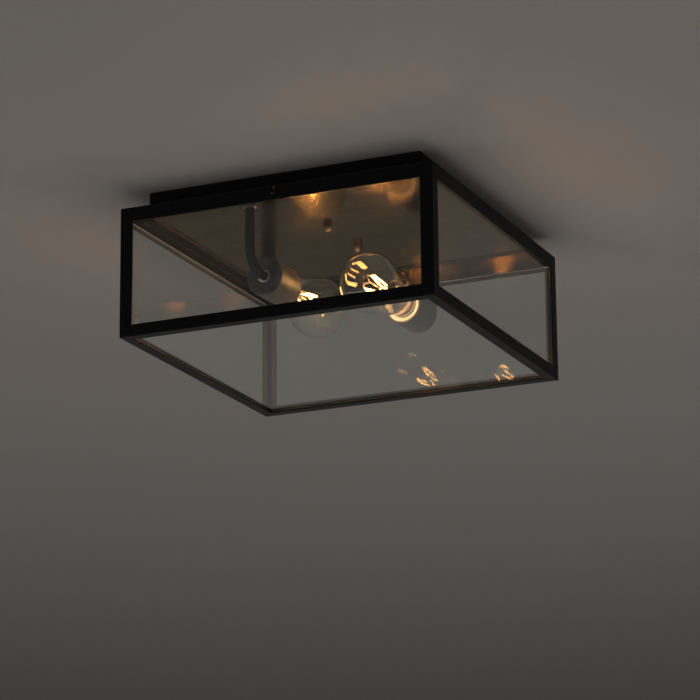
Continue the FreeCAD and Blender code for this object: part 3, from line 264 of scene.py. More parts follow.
def bore(obj, cutter):
    """Cuts a shape out of a piece and keeps the result as its mesh."""
    points, faces = cutter
    mesh = clean_mesh("bore", points.tolist(), np.asarray(faces, object).tolist(), WELD / 10)
    tool = bpy.data.objects.new("bore", mesh)
    bpy.context.scene.collection.objects.link(tool)
    step = obj.modifiers.new("bore", "BOOLEAN")
    step.object = tool
    step.solver = "EXACT"
    bpy.context.view_layer.update()
    result = bpy.data.meshes.new_from_object(obj.evaluated_get(bpy.context.evaluated_depsgraph_get()))
    obj.modifiers.clear()
    bpy.data.objects.remove(tool)
    obj.data = result
    result.shade_smooth()
    result.set_sharp_from_angle(angle=math.radians(CREASE))


def sheet_metal(node, ease, finish):
    """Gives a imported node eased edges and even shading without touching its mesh."""
    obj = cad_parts[node]
    obj.data.shade_smooth()
    weld = obj.modifiers.new("weld", "WELD")
    weld.merge_threshold = 0.002 * MM
    flat = obj.modifiers.new("flat", "DECIMATE")
    flat.decimate_type = "DISSOLVE"
    flat.angle_limit = math.radians(0.5)
    soft = obj.modifiers.new("ease", "BEVEL")
    soft.width = ease
    soft.segments = 3
    soft.limit_method = "ANGLE"
    soft.angle_limit = math.radians(50)
    even = obj.modifiers.new("even", "WEIGHTED_NORMAL")
    even.weight = 80
    paint(obj, finish)


def paint(obj, finish):
    """One finish all over an object."""
    obj.data.materials.clear()
    obj.data.materials.append(finish)


# ---- Finishes ----------------------------------------------------------------------------------------

def sockets(group, ins, outs):
    """Named inputs (name, default) and outputs of a shader node group."""
    for name, value in ins:
        socket = group.interface.new_socket(name, in_out="INPUT", socket_type="NodeSocketFloat")
        socket.default_value = value
    for name, kind in outs:
        group.interface.new_socket(name, in_out="OUTPUT", socket_type=kind)


def mask_and_bump(group, ins, noise):
    """Gives a noise out as a mask and, by the group's Height and Strength, as a bumped normal."""
    bump, outs, link = group.nodes.new("ShaderNodeBump"), group.nodes.new("NodeGroupOutput"), group.links.new
    link(noise.outputs["Fac"], bump.inputs["Height"])
    link(ins.outputs["Height"], bump.inputs["Distance"])
    link(ins.outputs["Strength"], bump.inputs["Strength"])
    link(noise.outputs["Fac"], outs.inputs["Mask"])
    link(bump.outputs["Normal"], outs.inputs["Normal"])
    return group


def fine_grain_group():
    """Even fine grain, as on sprayed paint: a mask and a bumped normal."""
    group = bpy.data.node_groups.new("fine_grain", "ShaderNodeTree")
    sockets(group, (("Scale", 900.0), ("Height", 0.00004), ("Strength", 0.5)),
            (("Mask", "NodeSocketFloat"), ("Normal", "NodeSocketVector")))
    nodes, link = group.nodes, group.links.new
    ins, place, noise = (nodes.new(kind) for kind in
                         ("NodeGroupInput", "ShaderNodeTexCoord", "ShaderNodeTexNoise"))
    noise.inputs["Detail"].default_value = 3
    noise.inputs["Roughness"].default_value = 0.55
    link(place.outputs["Object"], noise.inputs["Vector"])
    link(ins.outputs["Scale"], noise.inputs["Scale"])
    return mask_and_bump(group, ins, noise)


def brushed_group():
    """Straight brush marks along one axis: noise stretched by Stretch X, Y and Z, as a mask and a normal."""
    group = bpy.data.node_groups.new("brush_marks", "ShaderNodeTree")
    sockets(group, (("Stretch X", 6.0), ("Stretch Y", 900.0), ("Stretch Z", 900.0), ("Height", 0.00002),
                    ("Strength", 0.3)),
            (("Mask", "NodeSocketFloat"), ("Normal", "NodeSocketVector")))
    nodes, link = group.nodes, group.links.new
    ins, place, stretch, join, noise = (nodes.new(kind) for kind in (
        "NodeGroupInput", "ShaderNodeTexCoord", "ShaderNodeVectorMath", "ShaderNodeCombineXYZ", "ShaderNodeTexNoise"))
    stretch.operation = "MULTIPLY"
    noise.inputs["Scale"].default_value = 1
    noise.inputs["Detail"].default_value = 4
    for axis in "XYZ":
        link(ins.outputs["Stretch " + axis], join.inputs[axis])
    link(place.outputs["Object"], stretch.inputs[0])
    link(join.outputs["Vector"], stretch.inputs[1])
    link(stretch.outputs["Vector"], noise.inputs["Vector"])
    return mask_and_bump(group, ins, noise)


def handling_group():
    """Broad soft blotches where a surface was handled: a mask between Low and High."""
    group = bpy.data.node_groups.new("handling_marks", "ShaderNodeTree")
    sockets(group, (("Scale", 18.0), ("Low", 0.3), ("High", 0.5)), (("Value", "NodeSocketFloat"),))
    nodes, link = group.nodes, group.links.new
    ins, outs = nodes.new("NodeGroupInput"), nodes.new("NodeGroupOutput")
    place, noise = nodes.new("ShaderNodeTexCoord"), nodes.new("ShaderNodeTexNoise")
    noise.inputs["Detail"].default_value = 5
    noise.inputs["Roughness"].default_value = 0.6
    spread = nodes.new("ShaderNodeMapRange")
    spread.inputs["From Min"].default_value = 0.35
    spread.inputs["From Max"].default_value = 0.65
    link(place.outputs["Object"], noise.inputs["Vector"])
    link(ins.outputs["Scale"], noise.inputs["Scale"])
    link(noise.outputs["Fac"], spread.inputs["Value"])
    link(ins.outputs["Low"], spread.inputs["To Min"])
    link(ins.outputs["High"], spread.inputs["To Max"])
    link(spread.outputs["Result"], outs.inputs["Value"])
    return group


class Finish:
    """A material under construction: its Principled shader and short ways to add nodes."""

    def __init__(self, name, colour, metallic=0.0, roughness=0.4, **plain):
        self.material = bpy.data.materials.new(name)
        self.material.use_nodes = True
        self.nodes, self.link = self.material.node_tree.nodes, self.material.node_tree.links.new
        self.shader = self.nodes["Principled BSDF"]
        self.output = self.nodes["Material Output"]
        self.shader.inputs["Base Color"].default_value = (*colour, 1)
        self.shader.inputs["Metallic"].default_value = metallic
        self.shader.inputs["Roughness"].default_value = roughness
        for key, value in plain.items():
            self.shader.inputs[key.replace("_", " ").title().replace("Ior", "IOR")].default_value = value
        self.material.diffuse_color = (*colour, 1)

    def add(self, kind, tree=None, **values):
        """A node with some inputs set. tree names the group that a group node shows."""
        node = self.nodes.new(kind)
        if tree:
            node.node_tree = bpy.data.node_groups[tree]
        for key, value in values.items():
            node.inputs[key.replace("_", " ")].default_value = value
        return node

    def group(self, name, **values):
        return self.add("ShaderNodeGroup", name, **values)

    def handled(self, low, high, scale=18.0):
        """Roughness that drifts between low and high."""
        marks = self.group("handling_marks", Low=low, High=high, Scale=scale)
        self.link(marks.outputs["Value"], self.shader.inputs["Roughness"])

    def grained(self, scale, strength, height=0.04 * MM):
        """A fine bump all over."""
        grain = self.group("fine_grain", Scale=scale, Strength=strength, Height=height)
        self.link(grain.outputs["Normal"], self.shader.inputs["Normal"])
        return grain

    def tinted(self, mask, dark, light):
        """Base colour between two tones by a mask."""
        ramp = self.nodes.new("ShaderNodeValToRGB")
        ramp.color_ramp.elements[0].position, ramp.color_ramp.elements[1].position = 0.35, 0.65
        ramp.color_ramp.elements[0].color = (*dark, 1)
        ramp.color_ramp.elements[1].color = (*light, 1)
        self.link(mask, ramp.inputs["Fac"])
        self.link(ramp.outputs["Color"], self.shader.inputs["Base Color"])

    def clear_to_lamps(self):
        """Lets rays from lamps through, so that glass casts no black shadow."""
        path, clear, mix = (self.nodes.new(kind) for kind in
                            ("ShaderNodeLightPath", "ShaderNodeBsdfTransparent", "ShaderNodeMixShader"))
        self.link(path.outputs["Is Shadow Ray"], mix.inputs["Fac"])
        self.link(self.shader.outputs["BSDF"], mix.inputs[1])
        self.link(clear.outputs["BSDF"], mix.inputs[2])
        self.link(mix.outputs["Shader"], self.output.inputs["Surface"])
        return self


def shaded(colour, factor):
    """A colour made lighter or darker."""
    return tuple(min(1.0, channel * factor) for channel in colour)


def painted(name, colour, low, high, grain=700.0, strength=0.25, coat=0.0, ior=1.5):
    """Sprayed paint: a faint orange peel, and gloss that drifts a little."""
    made = Finish(name, colour, roughness=(low + high) / 2, coat_weight=coat, coat_roughness=0.12, ior=ior)
    made.handled(low, high)
    peel = made.grained(grain, strength)
    made.tinted(peel.outputs["Mask"], shaded(colour, 0.85), shaded(colour, 1.2))
    return made.material


def bare_metal(name, colour, low, high, stretch=(600.0, 600.0, 12.0), strength=0.15):
    """Metal with fine marks along one axis."""
    made = Finish(name, colour, metallic=1.0, roughness=(low + high) / 2)
    made.handled(low, high, 60.0)
    marks = made.group("brush_marks", Stretch_X=stretch[0], Stretch_Y=stretch[1], Stretch_Z=stretch[2],
                       Strength=strength)
    made.link(marks.outputs["Normal"], made.shader.inputs["Normal"])
    made.tinted(marks.outputs["Mask"], shaded(colour, 0.85), shaded(colour, 1.1))
    return made.material


def tray_finish(colour):
    """Polished sheet, brushed along X, that shows soft stretched reflections. Its dark base colour is partly the
    sheet's own tone and partly painted dark reflection, standing for the dim room that the sheet mirrors.
    """
    made = Finish("tray_sheet", colour, metallic=1.0, roughness=0.12, specular_tint=(0.82, 0.72, 0.62, 1))
    marks = made.group("brush_marks", Stretch_X=3.0, Stretch_Y=260.0, Stretch_Z=260.0, Strength=0.10,
                       Height=0.00002)
    made.link(marks.outputs["Normal"], made.shader.inputs["Normal"])
    made.handled(0.09, 0.16, 9.0)
    made.tinted(marks.outputs["Mask"], shaded(colour, 0.8), shaded(colour, 1.12))
    return made.material


def pane_finish():
    """Clear float glass, whose level edges are ground and a little green."""
    made = Finish("pane_glass", (0.94, 0.97, 0.955), roughness=0.0, ior=1.5, transmission_weight=1.0)
    place = made.nodes.new("ShaderNodeNewGeometry")
    split, level = made.nodes.new("ShaderNodeSeparateXYZ"), made.nodes.new("ShaderNodeMath")
    level.operation = "ABSOLUTE"
    edge = made.add("ShaderNodeMapRange", From_Min=0.3, From_Max=0.6, To_Min=0.0, To_Max=0.45)
    made.link(place.outputs["True Normal"], split.inputs["Vector"])
    made.link(split.outputs["Z"], level.inputs[0])
    made.link(level.outputs[0], edge.inputs["Value"])
    made.link(edge.outputs["Result"], made.shader.inputs["Roughness"])
    return made.clear_to_lamps().material


def base_pane_finish():
    """Clear float glass of the base, with the faintest film of dust."""
    made = Finish("base_pane_glass", (0.94, 0.97, 0.955), roughness=0.0, ior=1.5, transmission_weight=1.0)
    made.handled(0.0, 0.02, 7.0)
    return made.clear_to_lamps().material


def bulb_finish():
    """Thin clear glass with slight drawing waves."""
    made = Finish("bulb_glass", (0.99, 0.96, 0.89), roughness=0.0, ior=1.45, transmission_weight=1.0)
    made.grained(35.0, 0.02, 0.2 * MM)
    return made.clear_to_lamps().material


def stick_finish(colour, strength):
    """Yellow coating of the light sticks, lit from a row of points inside."""
    made = Finish("light_stick", shaded(colour, 0.9), roughness=0.5)
    place = made.nodes.new("ShaderNodeTexCoord")
    chips = made.nodes.new("ShaderNodeTexNoise")
    chips.inputs["Scale"].default_value = 700
    ramp = made.nodes.new("ShaderNodeValToRGB")
    ramp.color_ramp.elements[0].position, ramp.color_ramp.elements[1].position = 0.3, 0.7
    ramp.color_ramp.elements[0].color = (*shaded(colour, 0.8), 1)
    ramp.color_ramp.elements[1].color = (*colour, 1)
    made.link(place.outputs["Object"], chips.inputs["Vector"])
    made.link(chips.outputs["Fac"], ramp.inputs["Fac"])
    made.link(ramp.outputs["Color"], made.shader.inputs["Emission Color"])
    made.shader.inputs["Emission Strength"].default_value = strength
    return made.material


def porcelain_finish():
    """Glazed cream porcelain with faint specks."""
    made = Finish("porcelain_glaze", (0.78, 0.70, 0.56), roughness=0.2, coat_weight=0.5, coat_roughness=0.08)
    grain = made.grained(260.0, 0.12, 0.1 * MM)
    made.tinted(grain.outputs["Mask"], (0.72, 0.63, 0.49), (0.82, 0.75, 0.61))
    return made.material


def rubber_finish(name, colour, scale=400.0, strength=0.6):
    """Matte rubber or foam with open pores."""
    made = Finish(name, colour, roughness=0.85)
    grain = made.grained(scale, strength, 0.3 * MM)
    made.tinted(grain.outputs["Mask"], shaded(colour, 0.6), shaded(colour, 1.4))
    return made.material


def striped_wire():
    """Green insulation with yellow stripes along it, from bands across the wire."""
    made = Finish("earth_insulation", (0.12, 0.32, 0.05), roughness=0.45)
    place, bands = made.nodes.new("ShaderNodeTexCoord"), made.nodes.new("ShaderNodeTexWave")
    bands.bands_direction = "Z"
    bands.inputs["Scale"].default_value = 260
    bands.inputs["Distortion"].default_value = 1.5
    made.link(place.outputs["Object"], bands.inputs["Vector"])
    made.tinted(bands.outputs["Fac"], (0.10, 0.30, 0.04), (0.75, 0.62, 0.05))
    return made.material


def make_finishes(colours):
    """All finishes by a short name."""
    for make in (fine_grain_group, brushed_group, handling_group):
        make()
    return {
        "frame": painted("frame_paint", tuple(colours.paint), 0.24, 0.36, ior=1.13),
        "pan": painted("pan_paint", shaded(colours.paint, 0.9), 0.34, 0.46, ior=1.13),
        "arm": painted("arm_gloss", (0.004, 0.004, 0.0045), 0.07, 0.11, strength=0.03, ior=1.2),
        "collar": painted("collar_paint", (0.03, 0.022, 0.016), 0.22, 0.3, strength=0.1),
        "holder_cap": painted("holder_cap_paint", (0.017, 0.0168, 0.0165), 0.45, 0.58, grain=1200.0, ior=1.25),
        "holder_sleeve": painted("holder_sleeve_bronze", tuple(colours.holder), 0.38, 0.48, grain=1200.0, ior=1.3),
        "porcelain": porcelain_finish(),
        "brass": bare_metal("shell_brass", (0.80, 0.58, 0.27), 0.16, 0.28),
        "nut_brass": bare_metal("cap_nut_bronze", (0.20, 0.145, 0.085), 0.14, 0.26),
        "zinc": bare_metal("zinc_plate", (0.62, 0.61, 0.58), 0.26, 0.40, stretch=(500.0, 16.0, 500.0)),
        "screw": painted("screw_oxide", (0.003, 0.003, 0.0033), 0.3, 0.4, strength=0.1, ior=1.15),
        # The tray's colour carries painted dark reflection as well as the sheet's own tone.
        "tray": tray_finish(tuple(colours.tray)),
        "pane": pane_finish(),
        "base_pane": base_pane_finish(),
        "bulb": bulb_finish(),
        "bulb_cap": bare_metal("bulb_cap_nickel", (0.74, 0.72, 0.67), 0.18, 0.3),
        "support": bare_metal("support_wire", (0.55, 0.50, 0.44), 0.2, 0.3),
        "stick": stick_finish(tuple(colours.glow), colours.glow_strength),
        "black_glass": painted("insulator_glass", (0.015, 0.015, 0.018), 0.08, 0.14, strength=0.03, coat=0.5),
        "foam": rubber_finish("seal_foam", (0.035, 0.035, 0.036)),
        "tape": rubber_finish("glazing_tape", (0.02, 0.02, 0.02), 900.0, 0.3),
        "wire": rubber_finish("wire_sleeve", (0.22, 0.10, 0.05), 1200.0, 0.5),
        "earth": striped_wire(),
        "block": painted("block_nylon", (0.78, 0.77, 0.72), 0.42, 0.55, strength=0.08),
    }


FINISHES = {}


# ---- Operators: one for each piece or group of like pieces -------------------------------------------

class LANTERN_OT_finishes(bpy.types.Operator):
    """Makes the shader groups and the finishes that every piece uses"""
    bl_idname = "lantern.finishes"
    bl_label = "Make finishes"

    def execute(self, context):
        FINISHES.update(make_finishes(context.scene.lantern_colours))
        return {"FINISHED"}


class LANTERN_OT_frame(bpy.types.Operator):
    """Paints the frame's posts and rails and eases their edges"""
    bl_idname = "lantern.frame"
    bl_label = "Frame"

    def execute(self, context):
        ease = context.scene.lantern_sizes.frame_ease
        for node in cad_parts:
            if node.startswith(("post_", "top_rail_", "base_rail_")):
                sheet_metal(node, ease, FINISHES["frame"])
        return {"FINISHED"}


class LANTERN_OT_panes(bpy.types.Operator):
    """Glazes the frame: panes with ground edges on black tape"""
    bl_idname = "lantern.panes"
    bl_label = "Panes"

    def execute(self, context):
        for side in ("front", "right", "back", "left"):
            paint(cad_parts["pane_" + side], FINISHES["pane"])
        paint(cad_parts["pane_base"], FINISHES["base_pane"])
        paint(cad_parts["glazing_tapes"], FINISHES["tape"])
        return {"FINISHED"}


class LANTERN_OT_ceiling_metal(bpy.types.Operator):
    """Finishes the pan, its seal, the reflector tray, the crossbar and what hides in the pan"""
    bl_idname = "lantern.ceiling_metal"
    bl_label = "Pan and tray"

    def execute(self, context):
        ease = context.scene.lantern_sizes.sheet_ease
        for node, finish in (("canopy_pan", "pan"), ("reflector_tray", "tray"), ("crossbar", "zinc")):
            sheet_metal(node, ease, FINISHES[finish])
        for node, finish in (("canopy_seal", "foam"), ("wires_left", "wire"), ("wires_right", "wire"),
                             ("earth_lead", "earth"), ("crossbar_studs", "zinc"), ("stem_nuts", "zinc"),
                             ("lip_nuts", "zinc"), ("earth_screws", "zinc"), ("terminal_block", "block")):
            sheet_metal(node, ease * 0.3, FINISHES[finish])
        return {"FINISHED"}


def arm_path():
    """Centre line of an arm in its own frame: down the upright leg, round a quarter bend, along the lamp's axis."""
    bend, top, end = STEM_BEND, STEM_TOP, HOLDER_START + STEM_THREAD
    turn = np.linspace(0, math.pi / 2, 17)[1:-1]
    upright = np.array([[0, 0, top], [0, 0, top - 0.2 * MM], [0, 0, 0], [0, 0, bend - LAMP_DROP]])
    elbow = np.stack([np.zeros_like(turn), bend * (1 - np.cos(turn)), bend - LAMP_DROP - bend * np.sin(turn)],
                     axis=-1)
    level = np.array([[0, bend, -LAMP_DROP], [0, end - 0.2 * MM, -LAMP_DROP], [0, end, -LAMP_DROP]])
    return np.concatenate([upright, elbow, level])


class LANTERN_OT_arms(bpy.types.Operator):
    """Bends the two tubes and puts a lock nut at the tray and a lock ring at the lampholder on each"""
    bl_idname = "lantern.arms"
    bl_label = "Arms"

    def execute(self, context):
        path, sides = arm_path(), 48
        for side in SIDES:
            skin, faces = tube(path, (1, 0, 0), STEM_R, sides)
            bore_skin, _ = tube(path, (1, 0, 0), STEM_R - STEM_WALL, sides)
            rows = len(path)
            walls = np.concatenate([skin, bore_skin.reshape(rows, sides, 3)[::-1].reshape(-1, 3)])
            closed = (walls, grid_faces(2 * rows, sides, closed_rows=True))
            piece(f"arm_{side}", [moved(closed, at_arm(side))], FINISHES["arm"], "ceiling_unit",
                  [f"stem_{side}"])
        shapes, nut_r, ring_r, teeth = [], 6.2 * MM, 6.7 * MM, 36
        nut_profile = eased([(0, BORE_R), (0, nut_r - 0.3 * MM), (-0.5 * MM, nut_r), (-2 * MM, nut_r),
                             (-2.5 * MM, nut_r - 0.3 * MM), (-2.5 * MM, BORE_R)], 0.15 * MM, 2)
        hexed = ((nut_profile[:, 0] < -0.35 * MM) & (nut_profile[:, 0] > -2.15 * MM)).astype(float)
        ring_profile = eased([(0, BORE_R), (0, ring_r), (RING_H, ring_r), (RING_H, BORE_R)], 0.3 * MM)
        for side in SIDES:
            shapes.append(moved(ring(nut_profile, hexed=hexed, sides=72), at_arm(side)))
            at_holder = along_lamp(side) @ Matrix.Translation((0, 0, HOLDER_START - RING_H))
            knurled, faces = ring(ring_profile, sides=4 * teeth)
            swell = 1 + 0.05 * np.cos(teeth * np.arctan2(knurled[:, 1], knurled[:, 0]))
            knurled[:, :2] *= np.where(np.hypot(knurled[:, 0], knurled[:, 1]) > 6 * MM, swell, 1)[:, None]
            shapes.append(moved((knurled, faces), at_holder))
        nuts = piece("arm_lock_nuts", shapes, FINISHES["collar"], "ceiling_unit", ["stem_lock_nuts"])
        nuts.data.materials.append(FINISHES["zinc"])
        heights = np.array([face.center.z for face in nuts.data.polygons])
        nuts.data.polygons.foreach_set("material_index", (heights < TRAY_Z - LAMP_DROP / 2).astype(np.int32))
        return {"FINISHED"}


class LANTERN_OT_lampholders(bpy.types.Operator):
    """Builds each lampholder: cap with its grip hole, sleeve, porcelain insert and brass contacts"""
    bl_idname = "lantern.lampholders"
    bl_label = "Lampholders"

    def execute(self, context):
        thread = context.scene.lantern_sizes.cap_thread
        cap = eased([(HOLDER_START, BORE_R), (HOLDER_START, HOLDER_R), (CAP_EDGE, HOLDER_R),
                     (CAP_EDGE, COUNTERBORE_R), (INSERT_START, COUNTERBORE_R), (INSERT_START, LEDGE_R),
                     (HOLDER_START + 2 * MM, LEDGE_R), (HOLDER_START + 2 * MM, BOSS_R),
                     (HOLDER_START + 6 * MM, BOSS_R), (HOLDER_START + 6 * MM, BORE_R)],
                    np.array([0.3, 1.6, 0.35, 0.2, 0.2, 0.2, 0.4, 0.4, 0.3, 0.3]) * MM, 5)
        sleeve = eased([(JOINT_START, SLEEVE_BORE), (JOINT_START, JOINT_R), (CAP_EDGE + 0.05 * MM, JOINT_R),
                        (CAP_EDGE + 0.05 * MM, HOLDER_R), (MOUTH, HOLDER_R), (MOUTH, MOUTH_R),
                        (MOUTH - 0.75 * MM, MOUTH_R), (MOUTH - 0.75 * MM, SLEEVE_BORE)],
                       np.array([0.15, 0.15, 0.05, 0.3, 0.4, 0.2, 0.2, 0.2]) * MM, 4)
        insert = eased([(INSERT_START, PIN_R + 0.05 * MM), (INSERT_START, INSERT_R), (MOUTH - 0.85 * MM, INSERT_R),
                        (MOUTH - 0.85 * MM, NOSE_R), (INSERT_END, NOSE_R), (INSERT_END, RIM_BORE),
                        (RECESS, RIM_BORE), (RECESS, INSERT_BORE), (INSERT_FLOOR, INSERT_BORE),
                        (INSERT_FLOOR, PIN_R + 0.05 * MM)],
                       np.array([0.2, 0.4, 0.2, 0.2, 0.9, 0.8, 0.5, 0.6, 0.4, 0.2]) * MM, 4)
        shell_foot, shell_hole = INSERT_FLOOR + 0.4 * MM, 6.5 * MM
        heights = np.linspace(shell_foot, SHELL_END, 90)
        shell_out = np.stack([heights, np.full_like(heights, SHELL_R)], axis=-1)
        shell_in = np.stack([heights[::-1], np.full_like(heights, SHELL_BORE)], axis=-1)
        foot = np.array([(shell_foot, shell_hole), (INSERT_FLOOR, shell_hole), (INSERT_FLOOR, SHELL_R)])
        shell = np.concatenate([shell_out, shell_in, foot])
        pin = eased([(INSERT_START, 0), (INSERT_START, PIN_R), (INSERT_FLOOR, PIN_R), (INSERT_FLOOR, CONTACT_R),
                     (INSERT_FLOOR + 1 * MM, CONTACT_R), (INSERT_FLOOR + 1 * MM, 0)],
                    np.array([0, 0.3, 0.1, 0.2, 0.4, 0]) * MM, 3)
        parts = (("cap", cap, "holder_cap", "holder_paint"), ("sleeve", sleeve, "holder_sleeve", "holder_paint"),
                 ("insert", insert, "porcelain", "porcelain"))
        low, high, grip_r = HOLDER_START - 1 * MM, HOLDER_START + 3 * MM, 2.5 * MM
        hole = turned([(low, 0), (low, grip_r), (high, grip_r), (high, 0)], sides=32)
        wave = (thread, 0.25 * MM, INSERT_FLOOR + 1.5 * MM, SHELL_END + 1 * MM)
        contacts = (ring(shell, sides=64, thread=wave), turned(pin, sides=48))
        for side in SIDES:
            place = along_lamp(side)
            for name, profile, finish, slot_name in parts:
                made = piece(f"lampholder_{side}_{name}", [moved(ring(profile, sides=128), place)],
                             FINISHES[finish], "ceiling_unit", [f"holder_{side}_{name}"])
                if name == "cap":
                    bore(made, moved(hole, place @ Matrix.Translation((7 * MM, 12.2 * MM, 0))))
                    paint(made, FINISHES[finish])
            piece(f"lampholder_{side}_contacts", [moved(shape, place) for shape in contacts], FINISHES["brass"],
                  "ceiling_unit", [f"holder_{side}_contacts"])
        return {"FINISHED"}


def bulb_outline(globe_r, inset, steps):
    """Profile of a bulb from its throat to its end: straight throat, hollow neck, straight taper that touches the
    globe, and the globe. inset draws it in by the glass."""
    slope = math.radians(CONE)
    neck_r = NECK_R - inset
    radius = globe_r - inset
    cone_end = GLOBE_AT - radius * math.sin(slope)
    cone_end_r = radius * math.cos(slope)
    cone_start = cone_end - (cone_end_r - neck_r) / math.tan(slope)
    throat_r = THROAT_R - inset
    throat = np.array([[BULB_RIM - 5 * MM, throat_r], [BULB_RIM - 2 * MM, throat_r]])
    s = np.linspace(0, 1, 9)[:, None]
    bottom, top = np.array([BULB_RIM - 1 * MM, throat_r]), np.array([cone_start, neck_r])
    corner = np.array([cone_start - (neck_r - throat_r) / math.tan(slope), throat_r])
    neck = (1 - s) ** 2 * bottom + 2 * s * (1 - s) * corner + s ** 2 * top
    taper = np.linspace([cone_start, neck_r], [cone_end, cone_end_r], 10)[1:-1]
    globe = arc((GLOBE_AT, 0), radius, -CONE, 90, steps)
    globe[-1, 1] = 0
    return np.concatenate([throat, neck, taper, globe])


def stick_ends():
    """Both ends of each light stick about a lamp's axis: (count, start or end, xyz), leaning in turn either way."""
    number = np.arange(STICKS)
    angle = 2 * math.pi * number / STICKS
    lean = np.radians(STICK_LEAN) * np.where(number % 2, 1, -1)
    start, length, root, spread = BULB_RIM + 43 * MM, 30 * MM, 6.5 * MM, 10 * MM
    near = np.stack([root * np.cos(angle), -root * np.sin(angle), np.full(STICKS, start)], axis=-1)
    far = np.stack([spread * np.cos(angle + lean), -spread * np.sin(angle + lean), np.full(STICKS, start + length)],
                   axis=-1)
    return np.stack([near, far], axis=1)


def straight(start, end, radius, dome, sides=12):
    """A straight rod with domed ends."""
    path = np.linspace(start, end, 4)
    way = end - start
    helper = np.array([1.0, 0, 0]) if abs(way[0]) < 0.9 * np.linalg.norm(way) else np.array([0, 1.0, 0])
    across = np.cross(way, helper)
    across /= np.linalg.norm(across)
    path, radii = capped(path, radius, dome)
    return tube(path, across, radii, sides)


def bowed(start, end, outward, radius, bow, sides=8):
    """A wire from start to end that bows outward: the straight line plus bow times a half sine wave."""
    s = np.linspace(0, 1, 17)[:, None]
    path = start + (end - start) * s + outward * bow * np.sin(math.pi * s)
    across = np.cross(end - start, outward)
    across /= np.linalg.norm(across)
    path, radii = capped(path, radius, radius)
    return tube(path, across, radii, sides)


class LANTERN_OT_bulbs(bpy.types.Operator):
    """Blows the two bulbs, with screw cap, glass stem, support wires and lit sticks"""
    bl_idname = "lantern.bulbs"
    bl_label = "Bulbs"

    def execute(self, context):
        sizes = context.scene.lantern_sizes
        globe_r, wall, pitch = sizes.globe_width / 2, sizes.bulb_wall, sizes.cap_thread
        outside, inside = bulb_outline(globe_r, 0, 40), bulb_outline(globe_r, wall, 40)
        glass = np.concatenate([outside, inside[::-1]])
        tail, tip_top = BULB_TIP + 4.5 * MM, BULB_TIP + 1.2 * MM
        heights = np.linspace(BULB_RIM - 0.4 * MM, tail + 1.2 * MM, 90)
        cap_bore = CAP_R - CAP_SHEET
        out = [(BULB_RIM, cap_bore + 0.1 * MM), (BULB_RIM - 0.1 * MM, CAP_R),
               *zip(heights, np.full_like(heights, CAP_R)), (tail, TAIL_R), (tail, TAIL_BORE)]
        back = [(tail + CAP_SHEET, TAIL_BORE), (tail + CAP_SHEET, TAIL_R - 0.3 * MM),
                *zip(heights[::-1], np.full_like(heights, cap_bore)), (BULB_RIM, cap_bore)]
        cap = np.array([*out, *back])
        insulator = eased([(tail, 0), (tail, TAIL_R), (tip_top, TIP_R + 0.5 * MM), (tip_top, 0)],
                          np.array([0, 0.4, 0.8, 0]) * MM, 4)
        tip = eased([(tip_top, 0), (tip_top, TIP_R), (BULB_TIP + 0.6 * MM, TIP_R),
                     (BULB_TIP, TIP_R - 1 * MM), (BULB_TIP, 0)], np.array([0, 0.1, 0.3, 0.8, 0]) * MM, 4)
        foot, rod_end, flare_l, flare_r = BULB_RIM - 4.5 * MM, BULB_RIM + 35 * MM, 28 * MM, 11.0 * MM
        # distance from the foot over the flare's length, radius over its foot's radius
        flare = [(foot + share * flare_l, part * flare_r) for share, part in (
            (0, 1), (0.06, 0.82), (0.16, 0.6), (0.27, 0.47), (0.4, 0.37), (0.55, 0.32), (0.9, 0.29), (0.97, 0.2))]
        stem = eased([(foot, 0), *flare, (foot + flare_l, ROD_R), (rod_end - 1 * MM, ROD_R), (rod_end, 0)],
                     np.array([0, 0.3, *[1.5] * 7, 1.0, 0.8, 0]) * MM, 4)
        ends = stick_ends()
        hub = np.array([0, 0, BULB_RIM + 77 * MM])
        rod_tip = np.array([0, 0, rod_end + 0.3 * MM])
        axis = np.array([0, 0, 1.0])
        sleeve = 1.6 * MM  # half the metal sleeve at a stick's end
        sticks = [straight(near, far, STICK_R, 0.7 * MM) for near, far in ends]
        wires = [straight(rod_tip, hub, 0.35 * MM, 0.2 * MM, 8)]
        for near, far in ends:
            wires.append(bowed(rod_tip, near - axis * 0.6 * MM, -axis, WIRE_R, 1.2 * MM))
            wires.append(bowed(hub, far + axis * 0.6 * MM, axis, 0.35 * MM, 7.5 * MM))
            for end in (near, far):
                lean = (far - near) / np.linalg.norm(far - near)
                wires.append(straight(end - lean * sleeve, end + lean * sleeve, STICK_R + 0.08 * MM, 0.3 * MM, 12))
        wave = (pitch, 0.5 * MM, tail + 1.2 * MM, BULB_RIM - 1.0 * MM)
        parts = (("envelope", "glass", [ring(glass, sides=128)], "bulb", "lamp_glass", 60),
                 ("screw_cap", "cap", [ring(cap, sides=72, thread=wave)], "bulb_cap", "lamp_cap", 50),
                 ("black_glass", "insulator", [turned(insulator, sides=64)], "black_glass", "black_glass", CREASE),
                 ("end_contact", "tip", [turned(tip, sides=48)], "bulb_cap", "lamp_cap", CREASE),
                 ("stem", "mount", [turned(stem, sides=48)], "bulb", "lamp_glass", 60),
                 ("sticks", "filaments", sticks, "stick", "filament", CREASE),
                 ("supports", "leads", wires, "support", "support_wire", CREASE))
        for side in SIDES:
            place = along_lamp(side)
            for name, node, shapes, finish, slot_name, crease in parts:
                body = f"bulb_{side}_base" if name == "end_contact" else f"bulb_{side}"
                piece(f"bulb_{side}_{name}", [moved(shape, place) for shape in shapes], FINISHES[finish], body,
                      [f"bulb_{side}_{node}"], crease)
        return {"FINISHED"}


